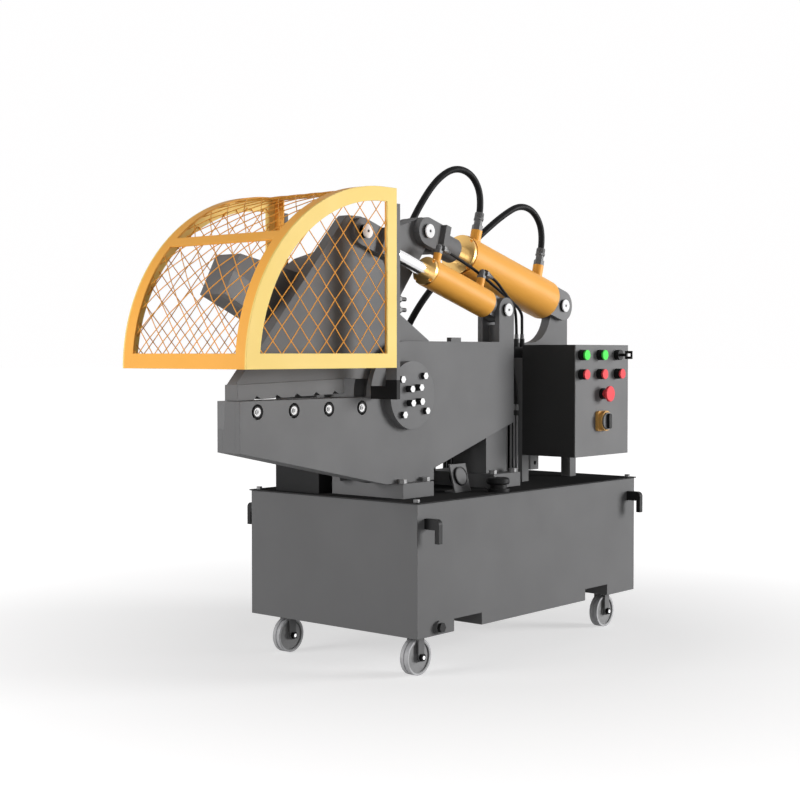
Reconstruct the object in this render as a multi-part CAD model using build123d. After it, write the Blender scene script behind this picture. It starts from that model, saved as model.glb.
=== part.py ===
from build123d import *
import os
from math import acos, atan2, copysign, cos, degrees, hypot, pi, radians, sin, tan

# Hydraulic alligator shear on a wheeled oil tank. Millimetres.
# X runs along the machine with the jaw at -X, -Y is the operator's long side, +Z is up.
# The origin is on the floor under the middle of the tank.

# Tank and lid
TANK_L = 960
TANK_W = 550
TANK_H = 315
TANK_WALL = 5
TANK_Z = 102
LID_T = 3
LID_OVERHANG = 4
FORK_SLOT_X = 286
FORK_SLOT_W = 110
FORK_SLOT_H = 30
LID_BOLT_INSET = 14
LID_BOLT_R = 4
LID_BOLT_AF = 13
LID_BOLT_HEAD = 7

# Hooks and drain on the tank's long sides
HOOK_X = 447
HOOK_T = 14
HOOK_REACH = 43
HOOK_TOP_Z = 382
HOOK_ARM_H = 25
HOOK_LEG_W = 12
HOOK_LEG_H = 57
DRAIN_X = -404
DRAIN_Z = 121
DRAIN_R = 8
DRAIN_BOSS_R = 15
DRAIN_BOSS_T = 8

# Casters
WHEEL_R = 44
WHEEL_W = 24
WHEEL_INSET_X = 69
WHEEL_INSET_Y = 62
TYRE_T = 8
TYRE_GROOVE = 3
AXLE_R = 6
FORK_T = 4
FORK_STRAP_W = 22
FORK_PLATE_L = 70
FORK_PLATE_W = 56
FORK_SIDE_GAP = 2
AXLE_END = 8
NUT_AF = 16
NUT_T = 7

# Frame plates, from the operator's side to the far side
FRAME_Y = -165
NEAR_T = 14
CLAMP_GAP = 40
INNER_T = 16
JAW_GAP = 79
FAR_T = 25
POST_T = 28
SIDE_CLEAR = 0.5
PIN_CLEAR = 0.05

# Frame outline
PIVOT_X = -388
PIVOT_Z = 667
BOSS_R = 130
JAW_TOP_DROP = 2
JAW_TIP_X = -938
JAW_TIP_H = 111
FOOT_H = 36
FOOT_FRONT_X = -461
FOOT_REAR_X = -283
HEEL_H = 28
FRAME_REAR_X = 53
FRAME_REAR_Z = 586
EAR_R = 32.5
EAR_PIN_Z = 881
EAR_PIN_R = 16
POST_PIN_X = 405
POST_PIN_Z = 903
POST_PIN_R = 17
POST_EYE_R = 42
POST_FRONT_X = -235
POST_FILLET = 95
LUG_X = (266, 305)
LUG_OVER_DECK = 22
LUG_HOLE_X = 288
LUG_HOLE_UP = 40.6
LUG_HOLE_R = 5.7
SPACER_L = 80
SPACER_H = 60
WEB_T = 12
WEB_TOP_DROP = 38
TAB_X = -194
TAB_L = 40
TAB_H = 10
CORE_CLEAR = 12

# Feet, legs and pillar on the lid
FOOT_FRONT_BLOCK_X = -372
FOOT_REAR_BLOCK_X = -10
FOOT_BLOCK_L = 116
FOOT_NEAR_Y = -190
FOOT_FAR_Y = 40
FOOT_BOLT_INSET = 14
FOOT_BOLT_R = 6
FOOT_BOLT_AF = 18
FOOT_BOLT_HEAD = 10
LEG_X = -3
LEG_L = 90
LEG_NEAR_Y = -150
LEG_W = 110
PILLAR_X = -421
PILLAR_L = 76
PILLAR_NEAR_Y = 58
PILLAR_W = 150
PILLAR_TOP = 700
PILLAR_WALL = 6

# Pivot
PIVOT_R = 40
PIVOT_OVERHANG = 6
FLANGE_R = 82
FLANGE_T = 20
FLANGE_OUTER_BOLTS_R = 60
FLANGE_INNER_BOLTS_R = 24
FLANGE_BOLT_AF = 15.5
FLANGE_OUTER_STAND = 10
FLANGE_INNER_STAND = 16
FLANGE_BOLT_R = 5
FLANGE_BOLT_GRIP = 12
FLANGE_TURN = 50

# Blades
BLADE_T = 23
BLADE_H = 60
BLADE_L = 433
BLADE_BOLT_FIRST = 52
BLADE_BOLT_PITCH = 112.5
BLADE_BOLT_COUNT = 4
BLADE_BOLT_DROP = 24
BLADE_BOLT_R = 8
BLADE_BOLT_HEAD_R = 12.5
BLADE_SINK_R = 17
BLADE_SINK_T = 10
UPPER_BLADE_T = 20
UPPER_BLADE_H = 58

# Upper jaw, drawn open
UPPER_TIP_X = -916
UPPER_TIP_Z = 896
UPPER_EDGE_DROP = 23.5
UPPER_TIP_FACE = 101
UPPER_TIP_LEAN = 5
UPPER_HUB_R = 110
UPPER_NOSE_ALONG = 75
UPPER_NOSE_UP = 116
UPPER_WAIST_ALONG = 190
UPPER_WAIST_UP = 142
UPPER_HUMP_ALONG = 235
UPPER_HUMP_UP = 204
UPPER_CREST_BACK = 190
UPPER_CREST_DROP = 24
UPPER_CHIN_OUT = 15
UPPER_CHIN_DROP = 41
UPPER_NAPE_OUT = 58
UPPER_NAPE_UP = 209
UPPER_HEEL_UP = 60
UPPER_ARM_OUT = 16
UPPER_ARM_UP = 123
MAIN_LUG_X = -219
MAIN_LUG_Z = 1075
MAIN_LUG_R = 36
MAIN_LUG_T = 37
MAIN_LUG_PLAY = 9

# Clamp, drawn nearly shut
CLAMP_HUB_R = 95
CLAMP_PLATE_T = 28
CLAMP_LUG_X = -535
CLAMP_LUG_Z = 1051
CLAMP_LUG_R = 36
CLAMP_CORNER_BACK = 55
CLAMP_CORNER_RISE = 24
CLAMP_CORNER_R = 14
CLAMP_THROAT_BACK = 22
CLAMP_THROAT_DROP = 42
CLAMP_NECK_FRONT = 62
CLAMP_NECK_UP = 320
CLAMP_BEND_FRONT = 8
CLAMP_BEND_UP = 199
CLAMP_HEEL_OUT = 110
CLAMP_HEEL_UP = 132
CLAMP_CHEST_UP = 40
CLAMP_BAR_FRONT_X = -931
CLAMP_BAR_REAR_X = -594
CLAMP_BAR_H = 34
CLAMP_BAR_FRONT_Z = 666
CLAMP_BAR_RISE = 9
CLAMP_TEETH = 5
CLAMP_TOOTH_FIRST = 48
CLAMP_TOOTH_PITCH = 62
CLAMP_TOOTH_W = 26
CLAMP_TOOTH_H = 8
CLAMP_LUG_PLAY = 3

# Main cylinder
MAIN_OD = 112
MAIN_BORE = 90
MAIN_ROD = 50
MAIN_BACK = 62
MAIN_CAP_T = 14
MAIN_TUBE_END = 457
MAIN_GLAND_END = 467
MAIN_EAR_T = 16
MAIN_PORTS = (110, 408)
MAIN_PORT_R = 15
MAIN_PORT_TOP = 86
MAIN_FITTING_TOP = 115
MAIN_PISTON_T = 40
MAIN_PISTON_GAP = 6
CLEVIS_EAR_R = 35
CLEVIS_EAR_T = 20
CLEVIS_FLANGE_AT = 54
CLEVIS_FLANGE_T = 20
CLEVIS_FLANGE_OVER = 12
CLEVIS_BOSS_R = 33
CLEVIS_BOSS_L = 76
PIN_STAND = 7

# Clamp cylinder
CLAMP_OD = 74
CLAMP_BORE = 58
CLAMP_ROD = 34
CLAMP_BACK = 54
CLAMP_CAP_T = 12
CLAMP_TUBE_END = 302
CLAMP_GLAND_END = 312
CLAMP_NECK_R = 28
CLAMP_NECK_GAP = 3
CLAMP_PORTS = (87, 275)
CLAMP_PORT_R = 10.5
CLAMP_PORT_TOP = 58
CLAMP_PISTON_T = 30
CLAMP_PISTON_FROM_GLAND = 12
FORK_EAR_R = 32
FORK_NEAR_T = 13
FORK_FAR_T = 9
FORK_FLANGE_AT = 60
FORK_FLANGE_T = 16
FORK_FLANGE_OVER = 14
FORK_BOSS_R = 22
FORK_BOSS_L = 24
FORK_PIN_STAND = 14
ELBOW_R = 8
ELBOW_AT = 75
ELBOW_L = 30
ELBOW_COLLAR = 8
ELBOW_NUT_AF = 20
ELBOW_NUT_AT = 11
ELBOW_NUT_T = 9
ELBOW_FERRULE = 10
ELBOW_HOSE_R = 5

GLAND_STEP = 2
GLAND_NOTCHES = 4
GLAND_NOTCH_W = 9
GLAND_NOTCH_D = 6
PISTON_CLEAR = 0.1

# Guard
GUARD_NEAR_Y = -245
GUARD_FAR_Y = 150
GUARD_REAR_X = -518
GUARD_FRONT_X = -996
GUARD_Z = 734
GUARD_HEADROOM = 127
GUARD_FLAT_TOP = 45
GUARD_SHEET = 4
GUARD_BAND = 33
GUARD_ARCH = 39
GUARD_MID_X = -875
GUARD_MID_BAND = 28
MESH_WIRE = 3
MESH_RIM = 2
MESH_LAP = 10
MESH_W = 55
MESH_H = 60
BRACKET_T = 12
BRACKET_W = 34
BRACKET_Z = 661
BRACKET_TOP_DROP = 35
BRACKET_FOOT_H = 30
GUARD_BOLT_R = 5
GUARD_BOLT_AF = 17
GUARD_BOLT_HEAD = 12
GUARD_BOLT_END = 32
GUARD_BOLT_INSET = 12
GUARD_BOLT_Z = (868, 893)

# Control box
BOX_X = 141
BOX_L = 262
BOX_NEAR_Y = -300
BOX_W = 170
BOX_Z = 493
BOX_H = 297
BOX_WALL = 2
PANEL_T = 3
BOX_POST = 30
BOX_POST_WALL = 3
BOX_POST_TOP = 755
BUTTON_EDGE = 26
BUTTON_PITCH = 88
BUTTON_TOP_DROP = 27
BUTTON_ROW_PITCH = 51
BUTTON_HOLE_R = 11.2
BEZEL_R = 14
BEZEL_T = 14
CAP_R = 10.4
CAP_CLEAR = 0.1
CAP_HEAD_R = 13.2
CAP_HEAD_T = 4
CAP_GAP = 0.2
CAP_TRAVEL = 3
BARREL_L = 30
ESTOP_ACROSS = 130
ESTOP_DROP = 131
ESTOP_R = 21
ESTOP_HEAD_T = 12
ESTOP_FLARE = 6
ESTOP_ROUND = 2
ESTOP_STEM_R = 10
ESTOP_COLLAR_R = 15
ESTOP_COLLAR_T = 8
ESTOP_TRAVEL = 5
KEY_R = 7
KEY_T = 3
KEY_NECK_H = 8
KEY_NECK_L = 14
KEY_BOW_H = 22
KEY_BOW_L = 22
KEY_HOLE_H = 8
KEY_HOLE_L = 12
ROTARY_ACROSS = 125
ROTARY_DROP = 204
ROTARY_PLATE = 54
ROTARY_PLATE_T = 8
ROTARY_ROUND = 8
ROTARY_DRUM_R = 26.5
ROTARY_DRUM_L = 11
ROTARY_DIAL_R = 23
ROTARY_DIAL_T = 4
ROTARY_HANDLE_L = 40
ROTARY_HANDLE_W = 13
ROTARY_HANDLE_T = 8
ROTARY_STEM_R = 6

# Motor and pump
MOTOR_X = 262
MOTOR_Y = 100
MOTOR_CORE_R = 92
MOTOR_FIN_R = 110
MOTOR_FINS = 28
MOTOR_FIN_T = 5
MOTOR_FOOT_T = 14
MOTOR_BODY_H = 170
MOTOR_COWL_R = 106
MOTOR_COWL_H = 96
MOTOR_BOX_L = 90
MOTOR_BOX_T = 46
MOTOR_BOX_H = 80
PUMP_R = 62
PUMP_L = 120
SUCTION_R = 14
SUCTION_L = 90
STRAINER_R = 34
STRAINER_L = 70
LID_PUMP_CLEAR = 2

# Valves, gauge and filler
MANIFOLD_X = -216
MANIFOLD_L = 130
MANIFOLD_Y = 92
MANIFOLD_W = 70
MANIFOLD_H = 84
PORT_X = (-252, -177)
PORT_Y = 85
PORT_FITTING_H = 26
PORT_FITTING_R = 12
VALVE_W = 46
VALVE_H = 44
VALVE_D = 40
COIL_R = 19
COIL_L = 48
CLAMP_BLOCK_X = 188
CLAMP_BLOCK_L = 76
CLAMP_BLOCK_T = 28
CLAMP_BLOCK_TOP = 785
CLAMP_BLOCK_H = 60
CLAMP_STUB_X = (178, 204)
CLAMP_STUB_H = 22
CLAMP_STUB_R = 7
CLAMP_FEED_X = (166, 188, 210)
CLAMP_FEED_R = 5
GAUGE_X = -190
GAUGE_Y = -185
GAUGE_PLATE_W = 64
GAUGE_PLATE_H = 72
GAUGE_PLATE_T = 4
GAUGE_TILT = 15
GAUGE_FOOT_L = 34
GAUGE_R = 24
GAUGE_RIM_T = 6
GAUGE_CASE_T = 18
GAUGE_HOLE_CLEAR = 0.5
FILLER_X = -122
FILLER_Y = -243
FILLER_NECK_R = 22
FILLER_FLANGE_R = 29
FILLER_FLANGE_T = 8
FILLER_NECK_H = 10
FILLER_BORE_R = 16
FILLER_CAP_R = 29
FILLER_CAP_T = 17
FILLER_PLUG_R = 15.7
FILLER_PLUG_L = 14

# Hoses
THICK_HOSE_R = 9
THICK_HOSE_LEAD = 60
THIN_HOSE_R = 4
THIN_HOSE_LEAD = 30
THIN_HOSE_DROP = 40
ARC_SHARE = 0.45
MAIN_FRONT_ROUTE = ((24, -52, 1242), (-40, -42, 1258), (-97, -24, 1222), (-142, -2, 1150),
                    (-182, 20, 1058), (-220, 40, 955), (-246, 56, 848), (-257, 68, 743), (-256, 78, 649))
MAIN_REAR_ROUTE = ((312, -53, 1163), (249, -45, 1181), (187, -30, 1148), (117, -8, 1092),
                   (41, 12, 1028), (-37, 26, 957), (-107, 40, 879), (-154, 54, 791), (-174, 68, 698))
MAIN_FRONT_DROP = 54
MAIN_REAR_DROP = 78
CLAMP_FRONT_ROUTE = ((-34, -110, 981), (110, -100, 919), (194, -90, 883))
CLAMP_REAR_ROUTE = ((75, -118, 928), (148, -100, 894))

# Values worked out from the driving dimensions
TANK_TOP = TANK_Z + TANK_H
DECK = TANK_TOP + LID_T
NEAR_INNER_Y = FRAME_Y + NEAR_T
INNER_NEAR_Y = NEAR_INNER_Y + CLAMP_GAP
SHEAR_Y = INNER_NEAR_Y + INNER_T
FAR_NEAR_Y = SHEAR_Y + JAW_GAP
FAR_FAR_Y = FAR_NEAR_Y + FAR_T
CLAMP_Y = (NEAR_INNER_Y + INNER_NEAR_Y) / 2
JAW_Y = (SHEAR_Y + FAR_NEAR_Y) / 2
JAW_TOP = PIVOT_Z - JAW_TOP_DROP
FRAME_TOP = PIVOT_Z + BOSS_R
FOOT_TOP = DECK + FOOT_H
HEEL_Z = FOOT_TOP + HEEL_H
EAR_PIN_X = FRAME_REAR_X - EAR_R
EAR_FRONT_X = FRAME_REAR_X - 2 * EAR_R
POST_REAR_X = POST_PIN_X + POST_EYE_R
BLADE_BOLT_Z = JAW_TOP - BLADE_BOLT_DROP
BLADE_BOLTS_X = [JAW_TIP_X + BLADE_BOLT_FIRST + i * BLADE_BOLT_PITCH for i in range(BLADE_BOLT_COUNT)]
EDGE_TURN = radians(UPPER_EDGE_DROP)
HUMP_X = UPPER_TIP_X + UPPER_HUMP_ALONG * cos(EDGE_TURN) + UPPER_HUMP_UP * sin(EDGE_TURN)
HUMP_Z = UPPER_TIP_Z - UPPER_HUMP_ALONG * sin(EDGE_TURN) + UPPER_HUMP_UP * cos(EDGE_TURN)
CREST_X = MAIN_LUG_X - UPPER_CREST_BACK
CREST_Z = MAIN_LUG_Z - UPPER_CREST_DROP
JAW_BACK_Z = HUMP_Z + (GUARD_REAR_X - HUMP_X) * (CREST_Z - HUMP_Z) / (CREST_X - HUMP_X)
GUARD_TOP_Z = round(JAW_BACK_Z) + GUARD_HEADROOM
BRACKET_TOP = GUARD_TOP_Z - BRACKET_TOP_DROP
MAIN_TILT = degrees(atan2(MAIN_LUG_Z - POST_PIN_Z, POST_PIN_X - MAIN_LUG_X))
MAIN_LENGTH = hypot(POST_PIN_X - MAIN_LUG_X, MAIN_LUG_Z - POST_PIN_Z)
CLAMP_TILT = degrees(atan2(CLAMP_LUG_Z - EAR_PIN_Z, EAR_PIN_X - CLAMP_LUG_X))
CLAMP_LENGTH = hypot(EAR_PIN_X - CLAMP_LUG_X, CLAMP_LUG_Z - EAR_PIN_Z)
BOX_REAR_Y = BOX_NEAR_Y + BOX_W
PANEL_Y = BOX_NEAR_Y + PANEL_T
POST_NEAR_Y = JAW_Y - POST_T / 2
POST_FAR_Y = JAW_Y + POST_T / 2
CLAMP_STUB_Y = POST_NEAR_Y - CLAMP_BLOCK_T / 2
WHEEL_X = TANK_L / 2 - WHEEL_INSET_X
WHEEL_Y = TANK_W / 2 - WHEEL_INSET_Y


# Shapes used many times

def block(x0, x1, y0, y1, z0, z1):
    return Pos((x0 + x1) / 2, (y0 + y1) / 2, (z0 + z1) / 2) * Box(x1 - x0, y1 - y0, z1 - z0)


def slab(face, y0, y1):
    """A face drawn with X to the right and Z up, filled from y0 to y1."""
    return Pos(0, y1, 0) * Rot(90, 0, 0) * extrude(face, y1 - y0)


def outline(*points):
    return make_face(Polyline(*points, close=True))


def disc(x, z, radius):
    return Pos(x, z) * Circle(radius)


def round_y(x, z, radius, y0, y1):
    return slab(disc(x, z, radius), y0, y1)


def round_z(x, y, radius, z0, z1):
    return Pos(x, y, z0) * extrude(Circle(radius), z1 - z0)


def round_x(y, z, radius, x0, x1):
    return Pos(x0, y, z) * Rot(0, 90, 0) * extrude(Circle(radius), x1 - x0)


def hex_z(x, y, across_flats, z0, z1):
    return Pos(x, y, z0) * extrude(RegularPolygon(across_flats / 2, 6, major_radius=False), z1 - z0)


def hex_y(x, z, across_flats, y0, y1):
    return slab(Pos(x, z) * RegularPolygon(across_flats / 2, 6, major_radius=False), y0, y1)


def save(name, *pieces):
    solids = [solid for piece in pieces for solid in piece.solids()]
    shape = solids[0] if len(solids) == 1 else Compound(solids)
    export_step(shape, f"parts/{name}.step")


def four_corners(x, y):
    return [(sx * x, sy * y) for sx in (-1, 1) for sy in (-1, 1)]


def belly_z(x):
    """Height of the frame plates' slanted lower edge."""
    slope = (FRAME_REAR_Z - HEEL_Z) / (FRAME_REAR_X - FOOT_REAR_X)
    return HEEL_Z + (x - FOOT_REAR_X) * slope


def jaw_bottom_z(x):
    """Height of the lower jaw's slanted underside."""
    rise = (JAW_TOP - JAW_TIP_H - FOOT_TOP) / (FOOT_FRONT_X - JAW_TIP_X)
    return FOOT_TOP + (FOOT_FRONT_X - x) * rise


# Tank

def tank_shell():
    """The welded tank: end plates, notched side plates, floor strips, slot channels, bolt corners, drain boss."""
    half_l, half_w = TANK_L / 2, TANK_W / 2
    in_l, in_w = half_l - TANK_WALL, half_w - TANK_WALL
    half_slot = FORK_SLOT_W / 2
    half_channel = half_slot + TANK_WALL
    slot_top = TANK_Z + FORK_SLOT_H
    slots = (-FORK_SLOT_X, FORK_SLOT_X)
    plates = [block(-half_l, -in_l, -half_w, half_w, TANK_Z, TANK_TOP),
              block(in_l, half_l, -half_w, half_w, TANK_Z, TANK_TOP)]
    for y0, y1 in ((-half_w, -in_w), (in_w, half_w)):
        side = block(-in_l, in_l, y0, y1, TANK_Z, TANK_TOP)
        for x in slots:
            side -= block(x - half_slot, x + half_slot, y0, y1, TANK_Z, slot_top)
        plates.append(side - round_y(DRAIN_X, DRAIN_Z, DRAIN_R, -half_w, -in_w))
    edges = [-in_l, slots[0] - half_channel, slots[0] + half_channel, slots[1] - half_channel,
             slots[1] + half_channel, in_l]
    for x0, x1 in zip(edges[::2], edges[1::2]):
        plates.append(block(x0, x1, -in_w, in_w, TANK_Z, TANK_Z + TANK_WALL))
    for x in slots:
        roof_z = slot_top + TANK_WALL
        plates.append(block(x - half_slot, x + half_slot, -in_w, in_w, slot_top, roof_z))
        plates.append(block(x - half_channel, x - half_slot, -in_w, in_w, TANK_Z, roof_z))
        plates.append(block(x + half_slot, x + half_channel, -in_w, in_w, TANK_Z, roof_z))
    boss = round_y(DRAIN_X, DRAIN_Z, DRAIN_BOSS_R, -half_w - DRAIN_BOSS_T, -half_w)
    plates.append(boss - round_y(DRAIN_X, DRAIN_Z, DRAIN_R, -half_w - DRAIN_BOSS_T, -half_w))
    for x, y in lid_bolt_places():
        room = LID_BOLT_INSET + 2 * LID_BOLT_R
        ends_x = sorted((copysign(half_l - room, x), copysign(in_l, x)))
        ends_y = sorted((copysign(half_w - room, y), copysign(in_w, y)))
        corner = block(*ends_x, *ends_y, TANK_TOP - 5 * LID_BOLT_R, TANK_TOP)
        plates.append(corner - round_z(x, y, LID_BOLT_R, TANK_TOP - 4 * LID_BOLT_R, TANK_TOP))
    return plates


def lid_bolt_places():
    return four_corners(TANK_L / 2 - LID_BOLT_INSET, TANK_W / 2 - LID_BOLT_INSET)


def tank_lid():
    half_l = TANK_L / 2 + LID_OVERHANG
    half_w = TANK_W / 2 + LID_OVERHANG
    lid = block(-half_l, half_l, -half_w, half_w, TANK_TOP, DECK)
    lid -= round_z(MOTOR_X, MOTOR_Y, PUMP_R + LID_PUMP_CLEAR, TANK_TOP, DECK)
    lid -= round_z(FILLER_X, FILLER_Y, FILLER_BORE_R, TANK_TOP, DECK)
    for x, y in lid_bolt_places():
        lid -= round_z(x, y, LID_BOLT_R, TANK_TOP, DECK)
    for x, y in foot_bolt_places():
        lid -= round_z(x, y, FOOT_BOLT_R, TANK_TOP, DECK)
    return lid


def bolt_z(x, y, radius, across_flats, seat_z, head, bottom_z):
    return hex_z(x, y, across_flats, seat_z, seat_z + head) + round_z(x, y, radius, bottom_z, seat_z)


def lid_bolts():
    return [bolt_z(x, y, LID_BOLT_R, LID_BOLT_AF, DECK, LID_BOLT_HEAD, TANK_TOP - 4 * LID_BOLT_R)
            for x, y in lid_bolt_places()]


def hook(side, x):
    """A flat hook cut from plate, standing out from a long side and turned down."""
    face_y = side * TANK_W / 2
    tip_y = face_y + side * HOOK_REACH
    leg_y = tip_y - side * HOOK_LEG_W
    arm_z = HOOK_TOP_Z - HOOK_ARM_H
    low_z = HOOK_TOP_Z - HOOK_LEG_H
    shape = outline((face_y, HOOK_TOP_Z), (tip_y, HOOK_TOP_Z), (tip_y, low_z), (leg_y, low_z),
                    (leg_y, arm_z), (face_y, arm_z))
    shape = fillet(shape.vertices().sort_by(Axis.Y)[-2:].sort_by(Axis.X)[-1 if side > 0 else 0],
                   HOOK_LEG_W)
    solid = extrude(shape, HOOK_T)
    return Pos(x - HOOK_T / 2, 0, 0) * Rot(0, 90, 0) * Rot(0, 0, 90) * solid


def lifting_hooks():
    return [hook(side, x) for side in (-1, 1) for x in (-HOOK_X, HOOK_X)]


def drain_plug():
    near = -TANK_W / 2 - DRAIN_BOSS_T
    plug = round_y(DRAIN_X, DRAIN_Z, DRAIN_R, near, near + DRAIN_BOSS_T)
    return plug + hex_y(DRAIN_X, DRAIN_Z, 1.4 * DRAIN_BOSS_R, near - DRAIN_BOSS_T, near)


# Casters

def caster_fork(x, y):
    half = WHEEL_W / 2 + FORK_SIDE_GAP
    plate_z = TANK_Z - FORK_T
    fork = block(x - FORK_PLATE_L / 2, x + FORK_PLATE_L / 2, y - FORK_PLATE_W / 2, y + FORK_PLATE_W / 2,
                 plate_z, TANK_Z)
    strap = Pos(x, (plate_z + WHEEL_R) / 2) * Rectangle(FORK_STRAP_W, plate_z - WHEEL_R)
    strap += disc(x, WHEEL_R, FORK_STRAP_W / 2)
    strap -= disc(x, WHEEL_R, AXLE_R)
    return fork + slab(strap, y - half - FORK_T, y - half) + slab(strap, y + half, y + half + FORK_T)


def caster_axle(x, y):
    outer = WHEEL_W / 2 + FORK_SIDE_GAP + FORK_T
    axle = round_y(x, WHEEL_R, AXLE_R, y - outer - AXLE_END, y + outer + AXLE_END)
    axle += hex_y(x, WHEEL_R, NUT_AF, y - outer - NUT_T, y - outer)
    return axle + hex_y(x, WHEEL_R, NUT_AF, y + outer, y + outer + NUT_T)


def wheel(x, y):
    half = WHEEL_W / 2
    body = round_y(x, WHEEL_R, WHEEL_R, y - half, y + half)
    groove = disc(x, WHEEL_R, WHEEL_R) - disc(x, WHEEL_R, WHEEL_R - TYRE_GROOVE / 2)
    body -= slab(groove, y - TYRE_GROOVE / 2, y + TYRE_GROOVE / 2)
    dish = disc(x, WHEEL_R, WHEEL_R - TYRE_T) - disc(x, WHEEL_R, 2 * AXLE_R)
    for y0 in (y - half, y + half - TYRE_GROOVE):
        body -= slab(dish, y0, y0 + TYRE_GROOVE)
    return body - round_y(x, WHEEL_R, AXLE_R + PIN_CLEAR, y - half, y + half)


# Welded frame

def frame_holes(face):
    face -= disc(PIVOT_X, PIVOT_Z, PIVOT_R)
    return face


def side_face():
    """Outline shared by the near and inner plates: jaw, boss, foot and cylinder ear."""
    face = outline((JAW_TIP_X, JAW_TOP), (JAW_TIP_X, JAW_TOP - JAW_TIP_H), (FOOT_FRONT_X, FOOT_TOP),
                   (FOOT_REAR_X, FOOT_TOP), (FOOT_REAR_X, HEEL_Z), (FRAME_REAR_X, FRAME_REAR_Z),
                   (FRAME_REAR_X, EAR_PIN_Z), (EAR_FRONT_X, EAR_PIN_Z), (EAR_FRONT_X, FRAME_TOP),
                   (PIVOT_X, FRAME_TOP), (PIVOT_X, JAW_TOP))
    face += disc(PIVOT_X, PIVOT_Z, BOSS_R)
    face += disc(EAR_PIN_X, EAR_PIN_Z, EAR_R)
    return frame_holes(face - disc(EAR_PIN_X, EAR_PIN_Z, EAR_PIN_R))


def lower_blade_room():
    return block(JAW_TIP_X, JAW_TIP_X + BLADE_L, SHEAR_Y - BLADE_T, SHEAR_Y, JAW_TOP - BLADE_H, JAW_TOP)


def near_side_plate():
    plate = slab(side_face(), FRAME_Y, NEAR_INNER_Y)
    for x in BLADE_BOLTS_X:
        plate -= round_y(x, BLADE_BOLT_Z, BLADE_BOLT_R, FRAME_Y, NEAR_INNER_Y)
        plate -= round_y(x, BLADE_BOLT_Z, BLADE_SINK_R, FRAME_Y, FRAME_Y + BLADE_SINK_T)
    for x, z in flange_bolt_places():
        plate -= round_y(x, z, FLANGE_BOLT_R, FRAME_Y, FRAME_Y + FLANGE_BOLT_GRIP)
    return plate


def inner_side_plate():
    return slab(side_face(), INNER_NEAR_Y, SHEAR_Y) - lower_blade_room()


def far_side_plate():
    face = outline((FOOT_FRONT_X, FOOT_TOP), (FOOT_REAR_X, FOOT_TOP), (FOOT_REAR_X, HEEL_Z),
                   (FRAME_REAR_X, FRAME_REAR_Z), (FRAME_REAR_X, FRAME_TOP), (PIVOT_X, FRAME_TOP),
                   (PIVOT_X - BOSS_R, PIVOT_Z))
    face += disc(PIVOT_X, PIVOT_Z, BOSS_R)
    return slab(frame_holes(face), FAR_NEAR_Y, FAR_FAR_Y)


def cylinder_post():
    """The plate in line with the jaw that carries the main cylinder's rear pin, with a holed lug under it."""
    front_x = POST_PIN_X - POST_EYE_R
    face = outline((POST_FRONT_X, belly_z(POST_FRONT_X)), (POST_REAR_X, belly_z(POST_REAR_X)),
                   (POST_REAR_X, POST_PIN_Z), (front_x, POST_PIN_Z), (front_x, FRAME_TOP),
                   (POST_FRONT_X, FRAME_TOP))
    corner = Pos(front_x - POST_FILLET / 2, FRAME_TOP + POST_FILLET / 2) * Rectangle(POST_FILLET, POST_FILLET)
    face += corner - disc(front_x - POST_FILLET, FRAME_TOP + POST_FILLET, POST_FILLET)
    face += disc(POST_PIN_X, POST_PIN_Z, POST_EYE_R)
    front, rear = LUG_X
    face += outline((front, DECK + LUG_OVER_DECK), (rear, DECK + LUG_OVER_DECK), (rear, FRAME_TOP), (front, FRAME_TOP))
    face -= disc(LUG_HOLE_X, DECK + LUG_HOLE_UP, LUG_HOLE_R)
    face -= disc(POST_PIN_X, POST_PIN_Z, POST_PIN_R)
    return slab(face, POST_NEAR_Y, POST_FAR_Y)


def jaw_core():
    rear_x = PIVOT_X - CLAMP_HUB_R - CORE_CLEAR
    face = outline((JAW_TIP_X, JAW_TOP), (JAW_TIP_X, JAW_TOP - JAW_TIP_H), (rear_x, jaw_bottom_z(rear_x)),
                   (rear_x, JAW_TOP))
    core = slab(face, NEAR_INNER_Y, INNER_NEAR_Y) - lower_blade_room()
    for x in BLADE_BOLTS_X:
        core -= round_y(x, BLADE_BOLT_Z, BLADE_BOLT_R, NEAR_INNER_Y, INNER_NEAR_Y)
    return core


def frame_fillers():
    """Pieces welded between the plates: jaw core, foot bar, ear web and spacers."""
    foot_bar = block(FOOT_FRONT_X, FOOT_REAR_X, NEAR_INNER_Y, INNER_NEAR_Y, FOOT_TOP, FOOT_TOP + HEEL_H)
    web_x = EAR_PIN_X - WEB_T / 2
    web = block(web_x, web_x + WEB_T, NEAR_INNER_Y, INNER_NEAR_Y, FRAME_REAR_Z + SPACER_H,
                EAR_PIN_Z - WEB_TOP_DROP)
    tab = block(TAB_X - TAB_L / 2, TAB_X + TAB_L / 2, FRAME_Y, NEAR_INNER_Y, FRAME_TOP, FRAME_TOP + TAB_H)
    pieces = [jaw_core(), foot_bar, web, tab]
    rear = FRAME_REAR_X - SPACER_L / 4
    for x1, z1 in ((rear, FRAME_TOP - SPACER_H / 2), (rear, FRAME_REAR_Z + 1.5 * SPACER_H),
                   (POST_FRONT_X + 1.5 * SPACER_L, FRAME_TOP - SPACER_H)):
        pieces.append(block(x1 - SPACER_L, x1, SHEAR_Y, POST_NEAR_Y, z1 - SPACER_H, z1))
        pieces.append(block(x1 - SPACER_L, x1, POST_FAR_Y, FAR_NEAR_Y, z1 - SPACER_H, z1))
    return pieces


def rear_leg():
    x0 = LEG_X - LEG_L / 2
    x1 = LEG_X + LEG_L / 2
    face = outline((x0, FOOT_TOP), (x1, FOOT_TOP), (x1, belly_z(x1)), (x0, belly_z(x0)))
    return slab(face, LEG_NEAR_Y, LEG_NEAR_Y + LEG_W)


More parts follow.
